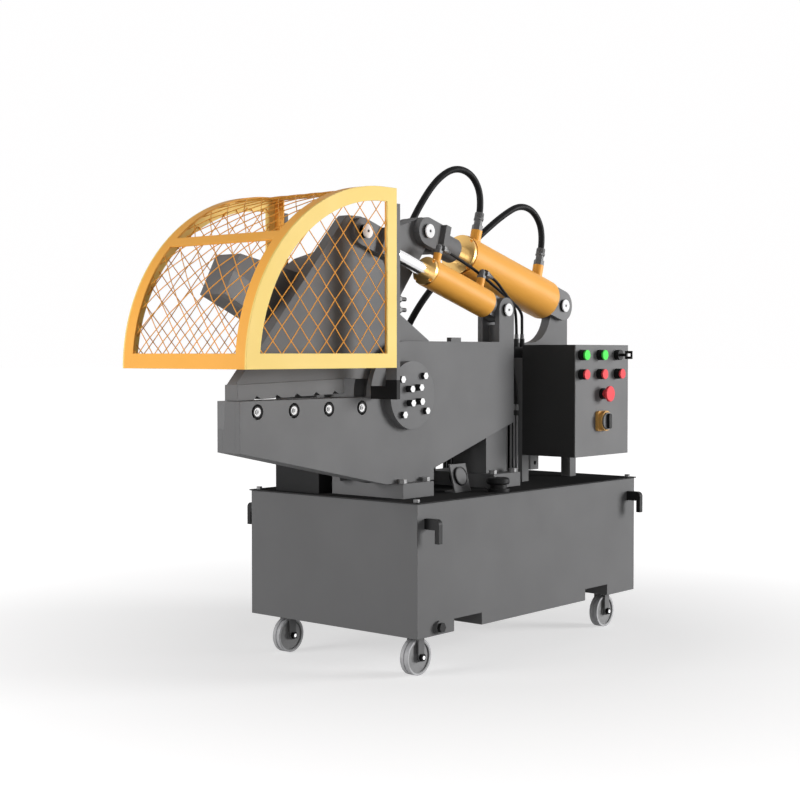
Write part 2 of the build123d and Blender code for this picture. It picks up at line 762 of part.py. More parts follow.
def foot_block(x):
    half = FOOT_BLOCK_L / 2
    foot = block(x - half, x + half, FOOT_NEAR_Y, FOOT_FAR_Y, DECK, FOOT_TOP)
    for bolt_x, bolt_y in foot_bolt_places(x):
        foot -= round_z(bolt_x, bolt_y, FOOT_BOLT_R, DECK, FOOT_TOP)
    return foot


def foot_bolt_places(*centres):
    reach = FOOT_BLOCK_L / 2 - FOOT_BOLT_INSET
    return [(x + sx * reach, y) for x in centres or (FOOT_FRONT_BLOCK_X, FOOT_REAR_BLOCK_X)
            for sx in (-1, 1) for y in (FOOT_NEAR_Y + FOOT_BOLT_INSET, FOOT_FAR_Y - FOOT_BOLT_INSET)]


def foot_bolts():
    return [bolt_z(x, y, FOOT_BOLT_R, FOOT_BOLT_AF, FOOT_TOP, FOOT_BOLT_HEAD, TANK_TOP)
            for x, y in foot_bolt_places()]


def guard_pillar():
    x0 = PILLAR_X - PILLAR_L / 2
    y1 = PILLAR_NEAR_Y + PILLAR_W
    pillar = block(x0, x0 + PILLAR_L, PILLAR_NEAR_Y, y1, DECK, PILLAR_TOP)
    wall = PILLAR_WALL
    return pillar - block(x0 + wall, x0 + PILLAR_L - wall, PILLAR_NEAR_Y + wall, y1 - wall,
                          DECK, PILLAR_TOP - wall)


# Pivot and blades

def frame_pins():
    """The pivot pin and the rear pins of both cylinders."""
    pivot = round_y(PIVOT_X, PIVOT_Z, PIVOT_R, FRAME_Y, FAR_FAR_Y + PIVOT_OVERHANG)
    clamp = round_y(EAR_PIN_X, EAR_PIN_Z, EAR_PIN_R, FRAME_Y - PIN_STAND, SHEAR_Y)
    reach = POST_T / 2 + SIDE_CLEAR + MAIN_EAR_T
    main = round_y(POST_PIN_X, POST_PIN_Z, POST_PIN_R, JAW_Y - reach - PIN_STAND, JAW_Y + reach + PIN_STAND)
    return [pivot, clamp, main]


def flange_bolt_places():
    places = []
    for radius in (FLANGE_OUTER_BOLTS_R, FLANGE_INNER_BOLTS_R):
        for i in range(4):
            angle = radians(FLANGE_TURN + 90 * i)
            places.append((PIVOT_X + radius * cos(angle), PIVOT_Z + radius * sin(angle)))
    return places


def pivot_flange():
    flange = round_y(PIVOT_X, PIVOT_Z, FLANGE_R, FRAME_Y - FLANGE_T, FRAME_Y)
    for x, z in flange_bolt_places():
        flange -= round_y(x, z, FLANGE_BOLT_R, FRAME_Y - FLANGE_T, FRAME_Y)
    return flange


def pivot_bolts():
    face_y = FRAME_Y - FLANGE_T
    bolts = []
    for i, (x, z) in enumerate(flange_bolt_places()):
        grip = FLANGE_BOLT_GRIP if i < 4 else 0
        stand = FLANGE_OUTER_STAND if i < 4 else FLANGE_INNER_STAND
        bolt = hex_y(x, z, FLANGE_BOLT_AF, face_y - stand, face_y)
        bolts.append(bolt + round_y(x, z, FLANGE_BOLT_R, face_y, FRAME_Y + grip))
    return bolts


def lower_blade():
    blade = lower_blade_room()
    for x in BLADE_BOLTS_X:
        blade -= round_y(x, BLADE_BOLT_Z, BLADE_BOLT_R, SHEAR_Y - BLADE_T, SHEAR_Y)
    return blade


def lower_blade_bolts():
    seat = FRAME_Y + BLADE_SINK_T
    return [round_y(x, BLADE_BOLT_Z, BLADE_BOLT_R, seat, SHEAR_Y)
            + round_y(x, BLADE_BOLT_Z, BLADE_BOLT_HEAD_R, FRAME_Y, seat)
            - hex_y(x, BLADE_BOLT_Z, BLADE_BOLT_R, FRAME_Y, FRAME_Y + BLADE_SINK_T / 2)
            for x in BLADE_BOLTS_X]


# Upper jaw

def edge_point(along, up):
    """A point measured along the upper jaw's cutting edge from its tip, and square to it."""
    turn = radians(UPPER_EDGE_DROP)
    x = UPPER_TIP_X + along * cos(turn) + up * sin(turn)
    return x, UPPER_TIP_Z - along * sin(turn) + up * cos(turn)


def upper_jaw_face():
    lean = UPPER_TIP_FACE * tan(radians(UPPER_TIP_LEAN))
    heel = hypot(UPPER_TIP_X - PIVOT_X, UPPER_TIP_Z - PIVOT_Z) - UPPER_HUB_R
    face = outline(edge_point(0, 0), edge_point(lean, UPPER_TIP_FACE),
                   edge_point(UPPER_NOSE_ALONG, UPPER_NOSE_UP), edge_point(UPPER_WAIST_ALONG, UPPER_WAIST_UP),
                   edge_point(UPPER_HUMP_ALONG, UPPER_HUMP_UP), (CREST_X, CREST_Z),
                   (MAIN_LUG_X, MAIN_LUG_Z + MAIN_LUG_R), (MAIN_LUG_X + MAIN_LUG_R, MAIN_LUG_Z),
                   (MAIN_LUG_X + UPPER_CHIN_OUT, MAIN_LUG_Z - UPPER_CHIN_DROP),
                   (PIVOT_X + UPPER_NAPE_OUT, PIVOT_Z + UPPER_NAPE_UP),
                   (PIVOT_X + UPPER_HUB_R, PIVOT_Z + UPPER_HEEL_UP), (PIVOT_X, PIVOT_Z), edge_point(heel, 0))
    face += disc(PIVOT_X, PIVOT_Z, UPPER_HUB_R)
    return face + disc(MAIN_LUG_X, MAIN_LUG_Z, MAIN_LUG_R)


def upper_blade_room():
    length = hypot(UPPER_TIP_X - PIVOT_X, UPPER_TIP_Z - PIVOT_Z) - UPPER_HUB_R - CORE_CLEAR
    strip = outline(edge_point(0, 0), edge_point(length, 0), edge_point(length, UPPER_BLADE_H),
                    edge_point(0, UPPER_BLADE_H))
    near = SHEAR_Y + SIDE_CLEAR
    return slab(strip & upper_jaw_face(), near, near + UPPER_BLADE_T)


def upper_blade_bolt_places():
    return [edge_point(BLADE_BOLT_FIRST + i * BLADE_BOLT_PITCH, UPPER_BLADE_H / 2)
            for i in range(BLADE_BOLT_COUNT)]


def upper_jaw():
    near = SHEAR_Y + SIDE_CLEAR
    far = FAR_NEAR_Y - SIDE_CLEAR
    jaw = slab(upper_jaw_face(), near, far) - upper_blade_room()
    arm_x = PIVOT_X + UPPER_ARM_OUT
    arm_z = PIVOT_Z + UPPER_ARM_UP
    for y0, y1 in ((near, JAW_Y - MAIN_LUG_T / 2), (JAW_Y + MAIN_LUG_T / 2, far)):
        jaw -= block(arm_x, MAIN_LUG_X + 2 * MAIN_LUG_R, y0, y1, arm_z, MAIN_LUG_Z + 2 * MAIN_LUG_R)
    jaw -= round_y(MAIN_LUG_X, MAIN_LUG_Z, POST_PIN_R + MAIN_LUG_PLAY, near, far)
    jaw -= round_y(PIVOT_X, PIVOT_Z, PIVOT_R + PIN_CLEAR, near, far)
    for x, z in upper_blade_bolt_places():
        jaw -= round_y(x, z, BLADE_BOLT_R, near, far)
        jaw -= round_y(x, z, BLADE_SINK_R, far - BLADE_SINK_T, far)
    return jaw


def upper_blade():
    """The upper blade and the screws that hold it from the jaw's far side."""
    near = SHEAR_Y + SIDE_CLEAR
    far = FAR_NEAR_Y - SIDE_CLEAR
    seat = far - BLADE_SINK_T
    blade = upper_blade_room()
    screws = []
    for x, z in upper_blade_bolt_places():
        blade -= round_y(x, z, BLADE_BOLT_R, near, near + UPPER_BLADE_T)
        screws.append(round_y(x, z, BLADE_BOLT_R, near, seat)
                      + round_y(x, z, BLADE_BOLT_HEAD_R, seat, far))
    return [blade] + screws


# Clamp

def clamp_bar():
    length = CLAMP_BAR_REAR_X - CLAMP_BAR_FRONT_X
    rise = CLAMP_BAR_RISE / length
    face = outline((CLAMP_BAR_FRONT_X, CLAMP_BAR_FRONT_Z), (CLAMP_BAR_FRONT_X, CLAMP_BAR_FRONT_Z + CLAMP_BAR_H),
                   (CLAMP_BAR_REAR_X, CLAMP_BAR_FRONT_Z + CLAMP_BAR_H + CLAMP_BAR_RISE),
                   (CLAMP_BAR_REAR_X, CLAMP_BAR_FRONT_Z + CLAMP_BAR_RISE))
    for i in range(CLAMP_TEETH):
        along = CLAMP_TOOTH_FIRST + i * CLAMP_TOOTH_PITCH
        x = CLAMP_BAR_FRONT_X + along
        z = CLAMP_BAR_FRONT_Z + along * rise
        face -= outline((x, z - 1), (x + CLAMP_TOOTH_W / 3, z + CLAMP_TOOTH_H), (x + CLAMP_TOOTH_W, z - 1))
    half = CLAMP_GAP / 2 - SIDE_CLEAR
    return slab(face, CLAMP_Y - half, CLAMP_Y + half)


def clamp_arm():
    """Plate arm with its hub and pin hole, and the toothed bar under it."""
    bar_top = CLAMP_BAR_FRONT_Z + CLAMP_BAR_H
    corner_x = CLAMP_LUG_X - CLAMP_CORNER_BACK
    corner_z = CLAMP_LUG_Z + CLAMP_CORNER_RISE
    face = outline((CLAMP_BAR_FRONT_X, bar_top), (corner_x, corner_z),
                   (corner_x + CLAMP_CORNER_R, CLAMP_LUG_Z + CLAMP_LUG_R - SIDE_CLEAR),
                   (CLAMP_LUG_X, CLAMP_LUG_Z + CLAMP_LUG_R), (CLAMP_LUG_X + CLAMP_LUG_R, CLAMP_LUG_Z),
                   (CLAMP_LUG_X + CLAMP_THROAT_BACK, CLAMP_LUG_Z - CLAMP_THROAT_DROP),
                   (PIVOT_X - CLAMP_NECK_FRONT, PIVOT_Z + CLAMP_NECK_UP),
                   (PIVOT_X - CLAMP_BEND_FRONT, PIVOT_Z + CLAMP_BEND_UP),
                   (PIVOT_X + CLAMP_HEEL_OUT, PIVOT_Z + CLAMP_HEEL_UP), (PIVOT_X + CLAMP_HUB_R, PIVOT_Z),
                   (PIVOT_X, PIVOT_Z), (PIVOT_X - CLAMP_HUB_R, PIVOT_Z + CLAMP_CHEST_UP),
                   (CLAMP_BAR_REAR_X, bar_top + CLAMP_BAR_RISE))
    face += disc(CLAMP_LUG_X, CLAMP_LUG_Z, CLAMP_LUG_R)
    face -= disc(CLAMP_LUG_X, CLAMP_LUG_Z, EAR_PIN_R + CLAMP_LUG_PLAY)
    arm = slab(face, CLAMP_Y - CLAMP_PLATE_T / 2, CLAMP_Y + CLAMP_PLATE_T / 2)
    half = CLAMP_GAP / 2 - SIDE_CLEAR
    arm += round_y(PIVOT_X, PIVOT_Z, CLAMP_HUB_R, CLAMP_Y - half, CLAMP_Y + half)
    arm -= round_y(PIVOT_X, PIVOT_Z, PIVOT_R + PIN_CLEAR, CLAMP_Y - half, CLAMP_Y + half)
    return [arm, clamp_bar()]


# Cylinders, drawn along -X from the rear pin and then tilted into place

def main_place():
    return Pos(POST_PIN_X, JAW_Y, POST_PIN_Z) * Rot(0, MAIN_TILT, 0)


def clamp_place():
    return Pos(EAR_PIN_X, CLAMP_Y, EAR_PIN_Z) * Rot(0, CLAMP_TILT, 0)


def tube_back(start, end, radius):
    return round_x(0, 0, radius, -end, -start)


def gland(start, end, outer_r, rod_r):
    body = tube_back(start, end, outer_r) - tube_back(start, end, rod_r + PIN_CLEAR)
    for i in range(GLAND_NOTCHES):
        notch = block(-end, -end + GLAND_NOTCH_D, outer_r - GLAND_NOTCH_D, outer_r,
                      -GLAND_NOTCH_W / 2, GLAND_NOTCH_W / 2)
        body -= Rot(360 / GLAND_NOTCHES * (i + 0.5), 0, 0) * notch
    return body


def barrel(back, cap_t, tube_end, outer_r, bore_r, ports, port_r, port_top):
    body = tube_back(back, tube_end, outer_r) - tube_back(back + cap_t, tube_end, bore_r)
    for place in ports:
        stub = round_z(-place, 0, port_r, (outer_r + bore_r) / 2, port_top)
        body += stub - round_z(-place, 0, port_r / 2, (outer_r + bore_r) / 2, port_top)
    return body


def main_barrel():
    body = barrel(MAIN_BACK, MAIN_CAP_T, MAIN_TUBE_END, MAIN_OD / 2, MAIN_BORE / 2, MAIN_PORTS,
                  MAIN_PORT_R, MAIN_PORT_TOP)
    ear = disc(0, 0, POST_EYE_R) + Pos(-MAIN_BACK / 2, 0) * Rectangle(MAIN_BACK, 2 * POST_EYE_R)
    ear -= disc(0, 0, POST_PIN_R + PIN_CLEAR)
    inside = POST_T / 2 + SIDE_CLEAR
    for ends in ((-inside - MAIN_EAR_T, -inside), (inside, inside + MAIN_EAR_T)):
        body += slab(ear, *ends)
    nut = gland(MAIN_TUBE_END, MAIN_GLAND_END, MAIN_OD / 2 - GLAND_STEP, MAIN_ROD / 2)
    return [main_place() * body, main_place() * nut]


def clamp_barrel():
    body = barrel(CLAMP_BACK, CLAMP_CAP_T, CLAMP_TUBE_END, CLAMP_OD / 2, CLAMP_BORE / 2, CLAMP_PORTS,
                  CLAMP_PORT_R, CLAMP_PORT_TOP)
    half = CLAMP_GAP / 2 - SIDE_CLEAR
    eye_r = EAR_R - SIDE_CLEAR
    eye = disc(0, 0, eye_r) + Pos(-CLAMP_BACK / 2, 0) * Rectangle(CLAMP_BACK, 2 * CLAMP_NECK_R)
    eye = slab(eye, -half, half)
    eye += tube_back(EAR_R + CLAMP_NECK_GAP, CLAMP_BACK, CLAMP_NECK_R)
    body += eye - round_y(0, 0, EAR_PIN_R + PIN_CLEAR, -half, half)
    nut = gland(CLAMP_TUBE_END, CLAMP_GLAND_END, CLAMP_OD / 2 - GLAND_STEP / 2, CLAMP_ROD / 2)
    return [clamp_place() * body, clamp_place() * nut]


def main_fittings():
    """Straight crimped hose ends on the main cylinder's ports."""
    mid = (MAIN_PORT_TOP + MAIN_FITTING_TOP) / 2
    return [main_place() * (hex_z(-place, 0, 1.7 * MAIN_PORT_R, MAIN_PORT_TOP, mid)
                            + round_z(-place, 0, THICK_HOSE_R + 2, mid, MAIN_FITTING_TOP))
            for place in MAIN_PORTS]


def hex_x(z, across_flats, x0, x1):
    return Pos(x0, 0, z) * Rot(0, 90, 0) * extrude(RegularPolygon(across_flats / 2, 6, major_radius=False), x1 - x0)


def clamp_fittings():
    """Elbows on the clamp cylinder's ports, turned to the rear, with their nuts and hose ends."""
    fittings = []
    for place in CLAMP_PORTS:
        elbow = hex_z(-place, 0, ELBOW_NUT_AF, CLAMP_PORT_TOP, CLAMP_PORT_TOP + ELBOW_COLLAR)
        elbow += round_z(-place, 0, ELBOW_R, CLAMP_PORT_TOP + ELBOW_COLLAR, ELBOW_AT)
        elbow += Pos(-place, 0, ELBOW_AT) * Sphere(ELBOW_R)
        elbow += round_x(0, ELBOW_AT, ELBOW_HOSE_R, -place, -place + ELBOW_L)
        elbow += hex_x(ELBOW_AT, ELBOW_NUT_AF, -place + ELBOW_NUT_AT, -place + ELBOW_NUT_AT + ELBOW_NUT_T)
        elbow += round_x(0, ELBOW_AT, ELBOW_R, -place + ELBOW_L - ELBOW_FERRULE, -place + ELBOW_L)
        fittings.append(clamp_place() * elbow)
    return fittings


def main_clevis():
    pin = MAIN_LENGTH
    flange_at = pin - CLEVIS_FLANGE_AT
    face = disc(-pin, 0, CLEVIS_EAR_R)
    face += Pos(-(pin + flange_at) / 2, 0) * Rectangle(pin - flange_at, 2 * CLEVIS_EAR_R)
    face -= disc(-pin, 0, POST_PIN_R)
    inside = MAIN_LUG_T / 2 + SIDE_CLEAR
    outside = inside + CLEVIS_EAR_T
    body = slab(face, -outside, -inside) + slab(face, inside, outside)
    boss_back = flange_at - CLEVIS_FLANGE_T - CLEVIS_BOSS_L
    wide = outside + CLEVIS_FLANGE_OVER
    body += block(-flange_at, -flange_at + CLEVIS_FLANGE_T, -wide, wide, -CLEVIS_EAR_R, CLEVIS_EAR_R)
    body += tube_back(boss_back, flange_at, CLEVIS_BOSS_R)
    return main_place() * (body - tube_back(boss_back, flange_at, MAIN_ROD / 2))


def main_rod():
    """Main rod with its piston, and the pin through the clevis."""
    start = MAIN_BACK + MAIN_CAP_T + MAIN_PISTON_GAP
    end = MAIN_LENGTH - CLEVIS_FLANGE_AT
    rod = tube_back(start, end, MAIN_ROD / 2)
    rod += tube_back(start, start + MAIN_PISTON_T, MAIN_BORE / 2 - PISTON_CLEAR)
    reach = MAIN_LUG_T / 2 + SIDE_CLEAR + CLEVIS_EAR_T
    pin = round_y(-MAIN_LENGTH, 0, POST_PIN_R, -reach - PIN_STAND, reach)
    return [main_place() * rod, main_place() * pin]


def clamp_clevis():
    """The clamp rod's fork: two ears, a flange that stands out on the operator's side, and a boss."""
    pin = CLAMP_LENGTH
    flange_at = pin - FORK_FLANGE_AT
    face = disc(-pin, 0, FORK_EAR_R)
    face += Pos(-(pin + flange_at) / 2, 0) * Rectangle(pin - flange_at, 2 * FORK_EAR_R)
    face -= disc(-pin, 0, EAR_PIN_R)
    inside = CLAMP_PLATE_T / 2 + SIDE_CLEAR
    near, far = -inside - FORK_NEAR_T, inside + FORK_FAR_T
    body = slab(face, near, -inside) + slab(face, inside, far)
    body += block(-flange_at, -flange_at + FORK_FLANGE_T, near - FORK_FLANGE_OVER, far, -FORK_EAR_R, FORK_EAR_R)
    boss_back = flange_at - FORK_FLANGE_T - FORK_BOSS_L
    body += tube_back(boss_back, flange_at, FORK_BOSS_R)
    return clamp_place() * (body - tube_back(boss_back, flange_at, CLAMP_ROD / 2))


def clamp_rod():
    """Clamp rod with its piston, and the pin through the fork."""
    piston_end = CLAMP_TUBE_END - CLAMP_PISTON_FROM_GLAND
    rod = tube_back(piston_end - CLAMP_PISTON_T, CLAMP_LENGTH - FORK_FLANGE_AT, CLAMP_ROD / 2)
    rod += tube_back(piston_end - CLAMP_PISTON_T, piston_end, CLAMP_BORE / 2 - PISTON_CLEAR)
    inside = CLAMP_PLATE_T / 2 + SIDE_CLEAR
    pin = round_y(-CLAMP_LENGTH, 0, EAR_PIN_R, -inside - FORK_NEAR_T - FORK_PIN_STAND, inside + FORK_FAR_T)
    return [clamp_place() * rod, clamp_place() * pin]


# Guard

def arch_room(inset):
    """All that lies under the arch and its short flat top, drawn in from them."""
    centre_x = GUARD_REAR_X - GUARD_FLAT_TOP
    radius_x = centre_x - GUARD_FRONT_X - inset
    radius_z = GUARD_TOP_Z - GUARD_Z - inset
    quarter = Pos(centre_x, GUARD_Z) * Ellipse(radius_x, radius_z)
    quarter &= Pos(centre_x - radius_x / 2, GUARD_Z + radius_z / 2) * Rectangle(radius_x, radius_z)
    flat = Pos(centre_x + GUARD_FLAT_TOP / 2, GUARD_Z + radius_z / 2) * Rectangle(GUARD_FLAT_TOP, radius_z)
    return quarter + flat


def side_opening(grow):
    """The window in a side plate, grown by a little."""
    centre_x = GUARD_REAR_X - GUARD_FLAT_TOP
    radius_x = centre_x - GUARD_FRONT_X - GUARD_ARCH + grow
    radius_z = GUARD_TOP_Z - GUARD_Z - GUARD_BAND + grow
    quarter = Pos(centre_x, GUARD_Z) * Ellipse(radius_x, radius_z)
    quarter &= Pos(centre_x - radius_x / 2, GUARD_Z + radius_z / 2) * Rectangle(radius_x, radius_z)
    flat = GUARD_FLAT_TOP - GUARD_BAND + grow
    window = quarter + Pos(centre_x + flat / 2, GUARD_Z + radius_z / 2) * Rectangle(flat, radius_z)
    keep_z = GUARD_Z + GUARD_BAND - grow
    return window & Pos(centre_x, keep_z + radius_z) * Rectangle(4 * radius_x, 2 * radius_z)


def arch_point(share, inset):
    """A point on the arch and its heading there, from its foot (0) to the start of the flat top (1)."""
    angle = share * pi / 2
    centre_x = GUARD_REAR_X - GUARD_FLAT_TOP
    radius_x = centre_x - GUARD_FRONT_X - inset
    radius_z = GUARD_TOP_Z - GUARD_Z - inset
    heading = degrees(atan2(radius_z * cos(angle), radius_x * sin(angle)))
    return centre_x - radius_x * cos(angle), GUARD_Z + radius_z * sin(angle), heading


def guard_frame():
    """Sheet guard: two side plates, bands bent round the arch, cross bands and the rear uprights."""
    side = arch_room(0) - side_opening(0)
    skin = arch_room(0) - arch_room(GUARD_SHEET)
    near_in, far_in = GUARD_NEAR_Y + GUARD_SHEET, GUARD_FAR_Y - GUARD_SHEET
    near_band, far_band = GUARD_NEAR_Y + GUARD_BAND, GUARD_FAR_Y - GUARD_BAND
    pieces = [slab(side, GUARD_NEAR_Y, near_in), slab(side, far_in, GUARD_FAR_Y),
              slab(skin, near_in, near_band), slab(skin, far_band, far_in)]
    foot = Pos(GUARD_FRONT_X, GUARD_Z + GUARD_BAND / 2) * Rectangle(2 * GUARD_ARCH, GUARD_BAND)
    top = Pos(GUARD_REAR_X - GUARD_BAND / 2, GUARD_TOP_Z) * Rectangle(GUARD_BAND, 2 * GUARD_BAND)
    centre_x = GUARD_REAR_X - GUARD_FLAT_TOP
    share = acos((centre_x - GUARD_MID_X) / (centre_x - GUARD_FRONT_X)) / (pi / 2)
    mid_x, mid_z, heading = arch_point(share, 0)
    middle = Pos(mid_x, mid_z) * Rot(0, 0, heading) * Rectangle(GUARD_MID_BAND, GUARD_BAND)
    pieces += [slab(skin & place, near_band, far_band) for place in (foot, middle, top)]
    for y0, y1 in ((near_in, near_band), (far_band, far_in)):
        pieces.append(block(GUARD_REAR_X - GUARD_SHEET, GUARD_REAR_X, y0, y1, GUARD_Z, GUARD_TOP_Z - GUARD_SHEET))
    return pieces


def diamond(width, height):
    return outline((-width / 2, 0), (0, -height / 2), (width / 2, 0), (0, height / 2))


def side_mesh(y):
    """A flat net of crossed wires that laps the inside of one side plate's window."""
    face = side_opening(MESH_LAP)
    room = side_opening(MESH_LAP - MESH_RIM)
    hole_w = MESH_W - 1.4 * MESH_WIRE
    hole_h = MESH_H - 1.4 * MESH_WIRE
    columns = int((GUARD_REAR_X - GUARD_FRONT_X) / (MESH_W / 2)) + 1
    rows = int((GUARD_TOP_Z - GUARD_Z) / MESH_H) + 1
    holes = []
    for column in range(columns):
        for row in range(rows):
            x = GUARD_FRONT_X + column * MESH_W / 2
            z = GUARD_Z + (row + (column % 2) / 2) * MESH_H
            holes.append(Pos(x, z) * diamond(hole_w, hole_h))
    return slab(face - (Sketch() + holes & room), y - MESH_WIRE / 2, y + MESH_WIRE / 2)


def front_mesh():
    """The net bent round inside the arch's bands, with a hole cut square to the curve in each diamond."""
    foot_z = GUARD_Z + GUARD_BAND - MESH_LAP
    rear_x = GUARD_REAR_X - GUARD_BAND + MESH_LAP
    ring = arch_room(GUARD_SHEET) - arch_room(GUARD_SHEET + MESH_WIRE)
    ring &= Pos((GUARD_FRONT_X + rear_x) / 2, (foot_z + GUARD_TOP_Z) / 2) * Rectangle(
        rear_x - GUARD_FRONT_X, GUARD_TOP_Z - foot_z)
    near = GUARD_NEAR_Y + GUARD_BAND - MESH_LAP
    far = GUARD_FAR_Y - GUARD_BAND + MESH_LAP
    sheet = slab(ring, near, far)
    inset = GUARD_SHEET + MESH_WIRE / 2
    round_l = pi / 4 * (GUARD_REAR_X - GUARD_FLAT_TOP - GUARD_FRONT_X + GUARD_TOP_Z - GUARD_Z - 2 * inset)
    rows = 2 * round(round_l / MESH_H)
    columns = int((far - near) / MESH_W) + 1
    holes = []
    for row in range(1, rows):
        x, z, heading = arch_point(row / rows, inset)
        prism = extrude(diamond(MESH_W - 1.4 * MESH_WIRE, MESH_H - 1.4 * MESH_WIRE), 4 * MESH_WIRE, both=True)
        prism = Rot(0, -heading, 0) * Rot(0, 0, 90) * prism
        for column in range(columns + 1):
            y = near + (column + (row % 2) / 2) * MESH_W
            holes.append(Pos(x, y, z) * prism)
    room = block(GUARD_FRONT_X, rear_x - MESH_RIM, near + MESH_RIM, far - MESH_RIM, foot_z + MESH_RIM, GUARD_TOP_Z)
    return sheet - [hole & room for hole in holes]


def guard_bracket_near():
    face_y = GUARD_NEAR_Y
    upright = block(GUARD_REAR_X, GUARD_REAR_X + BRACKET_T, face_y, face_y + BRACKET_W, BRACKET_Z, BRACKET_TOP)
    foot = block(GUARD_REAR_X, GUARD_REAR_X + BRACKET_T, face_y, FRAME_Y, BRACKET_Z, BRACKET_Z + BRACKET_FOOT_H)
    return bracket_holes(upright + foot, face_y + GUARD_BOLT_INSET)


def guard_bracket_far():
    y0 = GUARD_FAR_Y - BRACKET_W
    upright = block(GUARD_REAR_X, GUARD_REAR_X + BRACKET_T, y0, GUARD_FAR_Y, BRACKET_Z, BRACKET_TOP)
    arm = block(GUARD_REAR_X + BRACKET_T, PILLAR_X - PILLAR_L / 2, y0, GUARD_FAR_Y, BRACKET_Z,
                BRACKET_Z + BRACKET_FOOT_H)
    return bracket_holes(upright + arm, GUARD_FAR_Y - GUARD_BOLT_INSET)


def bracket_holes(bracket, y):
    for z in GUARD_BOLT_Z:
        bracket -= round_x(y, z, GUARD_BOLT_R, GUARD_REAR_X, GUARD_REAR_X + BRACKET_T)
    return bracket


def guard_bolts():
    seat = GUARD_REAR_X + BRACKET_T
    bolts = []
    for y in (GUARD_NEAR_Y + GUARD_BOLT_INSET, GUARD_FAR_Y - GUARD_BOLT_INSET):
        for z in GUARD_BOLT_Z:
            head = Pos(seat, y, z) * Rot(0, 90, 0) * extrude(
                RegularPolygon(GUARD_BOLT_AF / 2, 6, major_radius=False), GUARD_BOLT_HEAD)
            bolts.append(head + round_x(y, z, GUARD_BOLT_R, GUARD_REAR_X, seat + GUARD_BOLT_END))
    return bolts


# Control box

def control_box():
    outer = block(BOX_X, BOX_X + BOX_L, PANEL_Y, BOX_REAR_Y, BOX_Z, BOX_Z + BOX_H)
    wall = BOX_WALL
    return outer - block(BOX_X + wall, BOX_X + BOX_L - wall, PANEL_Y, BOX_REAR_Y - wall,
                         BOX_Z + wall, BOX_Z + BOX_H - wall)


def panel_place(across, drop):
    return BOX_X + across, BOX_Z + BOX_H - drop


def button_places():
    """Two rows of three. The last place of the top row is the key switch."""
    return [panel_place(BUTTON_EDGE + column * BUTTON_PITCH, BUTTON_TOP_DROP + row * BUTTON_ROW_PITCH)
            for row in range(2) for column in range(3)]


def control_panel():
    panel = block(BOX_X, BOX_X + BOX_L, BOX_NEAR_Y, PANEL_Y, BOX_Z, BOX_Z + BOX_H)
    for x, z in button_places() + [panel_place(ESTOP_ACROSS, ESTOP_DROP)]:
        panel -= round_y(x, z, BUTTON_HOLE_R + CAP_CLEAR, BOX_NEAR_Y, PANEL_Y)
    return panel - round_y(*panel_place(ROTARY_ACROSS, ROTARY_DROP), ROTARY_STEM_R + CAP_CLEAR, BOX_NEAR_Y, PANEL_Y)


def box_posts():
    posts = []
    for x in (BOX_X, BOX_X + BOX_L - BOX_POST):
        post = block(x, x + BOX_POST, BOX_REAR_Y, BOX_REAR_Y + BOX_POST, DECK, BOX_POST_TOP)
        wall = BOX_POST_WALL
        posts.append(post - block(x + wall, x + BOX_POST - wall, BOX_REAR_Y + wall,
                                  BOX_REAR_Y + BOX_POST - wall, DECK, BOX_POST_TOP))
    return posts


def bezel(x, z, bore_r, outer_r, stand):
    body = round_y(x, z, outer_r, BOX_NEAR_Y - stand, BOX_NEAR_Y)
    body += round_y(x, z, BUTTON_HOLE_R, BOX_NEAR_Y, BOX_NEAR_Y + BARREL_L)
    return body - round_y(x, z, bore_r, BOX_NEAR_Y - stand, BOX_NEAR_Y + BARREL_L - PANEL_T)


def button_bezels():
    bezels = [bezel(x, z, CAP_R + CAP_CLEAR, BEZEL_R, BEZEL_T) for x, z in button_places()]
    key_x, key_z = button_places()[2]
    bezels[2] = bezel(key_x, key_z, KEY_R + CAP_CLEAR, BEZEL_R, BEZEL_T)
    x, z = panel_place(ESTOP_ACROSS, ESTOP_DROP)
    return bezels + [bezel(x, z, ESTOP_STEM_R + CAP_CLEAR, ESTOP_COLLAR_R, ESTOP_COLLAR_T)]


def button_cap(x, z):
    back = BOX_NEAR_Y - BEZEL_T - CAP_TRAVEL - CAP_GAP
    head = round_y(x, z, CAP_HEAD_R, back - CAP_HEAD_T, back)
    return head + round_y(x, z, CAP_R, back, BOX_NEAR_Y + BARREL_L / 2)


def key_switch():
    x, z = button_places()[2]
    front = BOX_NEAR_Y - BEZEL_T
    key = round_y(x, z, KEY_R, front, BOX_NEAR_Y + BARREL_L / 2)
    bow = front - KEY_NECK_L
    middle = bow - KEY_BOW_L / 2
    half = KEY_T / 2
    key += block(x - half, x + half, bow, front, z - KEY_NECK_H / 2, z + KEY_NECK_H / 2)
    key += block(x - half, x + half, bow - KEY_BOW_L, bow, z - KEY_BOW_H / 2, z + KEY_BOW_H / 2)
    return key - block(x - half, x + half, middle - KEY_HOLE_L / 2, middle + KEY_HOLE_L / 2,
                       z - KEY_HOLE_H / 2, z + KEY_HOLE_H / 2)


def estop_button():
    x, z = panel_place(ESTOP_ACROSS, ESTOP_DROP)
    back = BOX_NEAR_Y - ESTOP_COLLAR_T - ESTOP_TRAVEL - CAP_TRAVEL
    stem = round_y(x, z, ESTOP_STEM_R, back, BOX_NEAR_Y + BARREL_L / 2)
    head = round_y(x, z, ESTOP_R, back - ESTOP_HEAD_T, back - ESTOP_FLARE)
    rim = head.faces().sort_by(Axis.Y)[0].edges()
    flare = Cone(ESTOP_COLLAR_R, ESTOP_R, ESTOP_FLARE, align=(Align.CENTER, Align.CENTER, Align.MIN))
    return stem + fillet(rim, ESTOP_ROUND) + Pos(x, back, z) * Rot(90, 0, 0) * flare


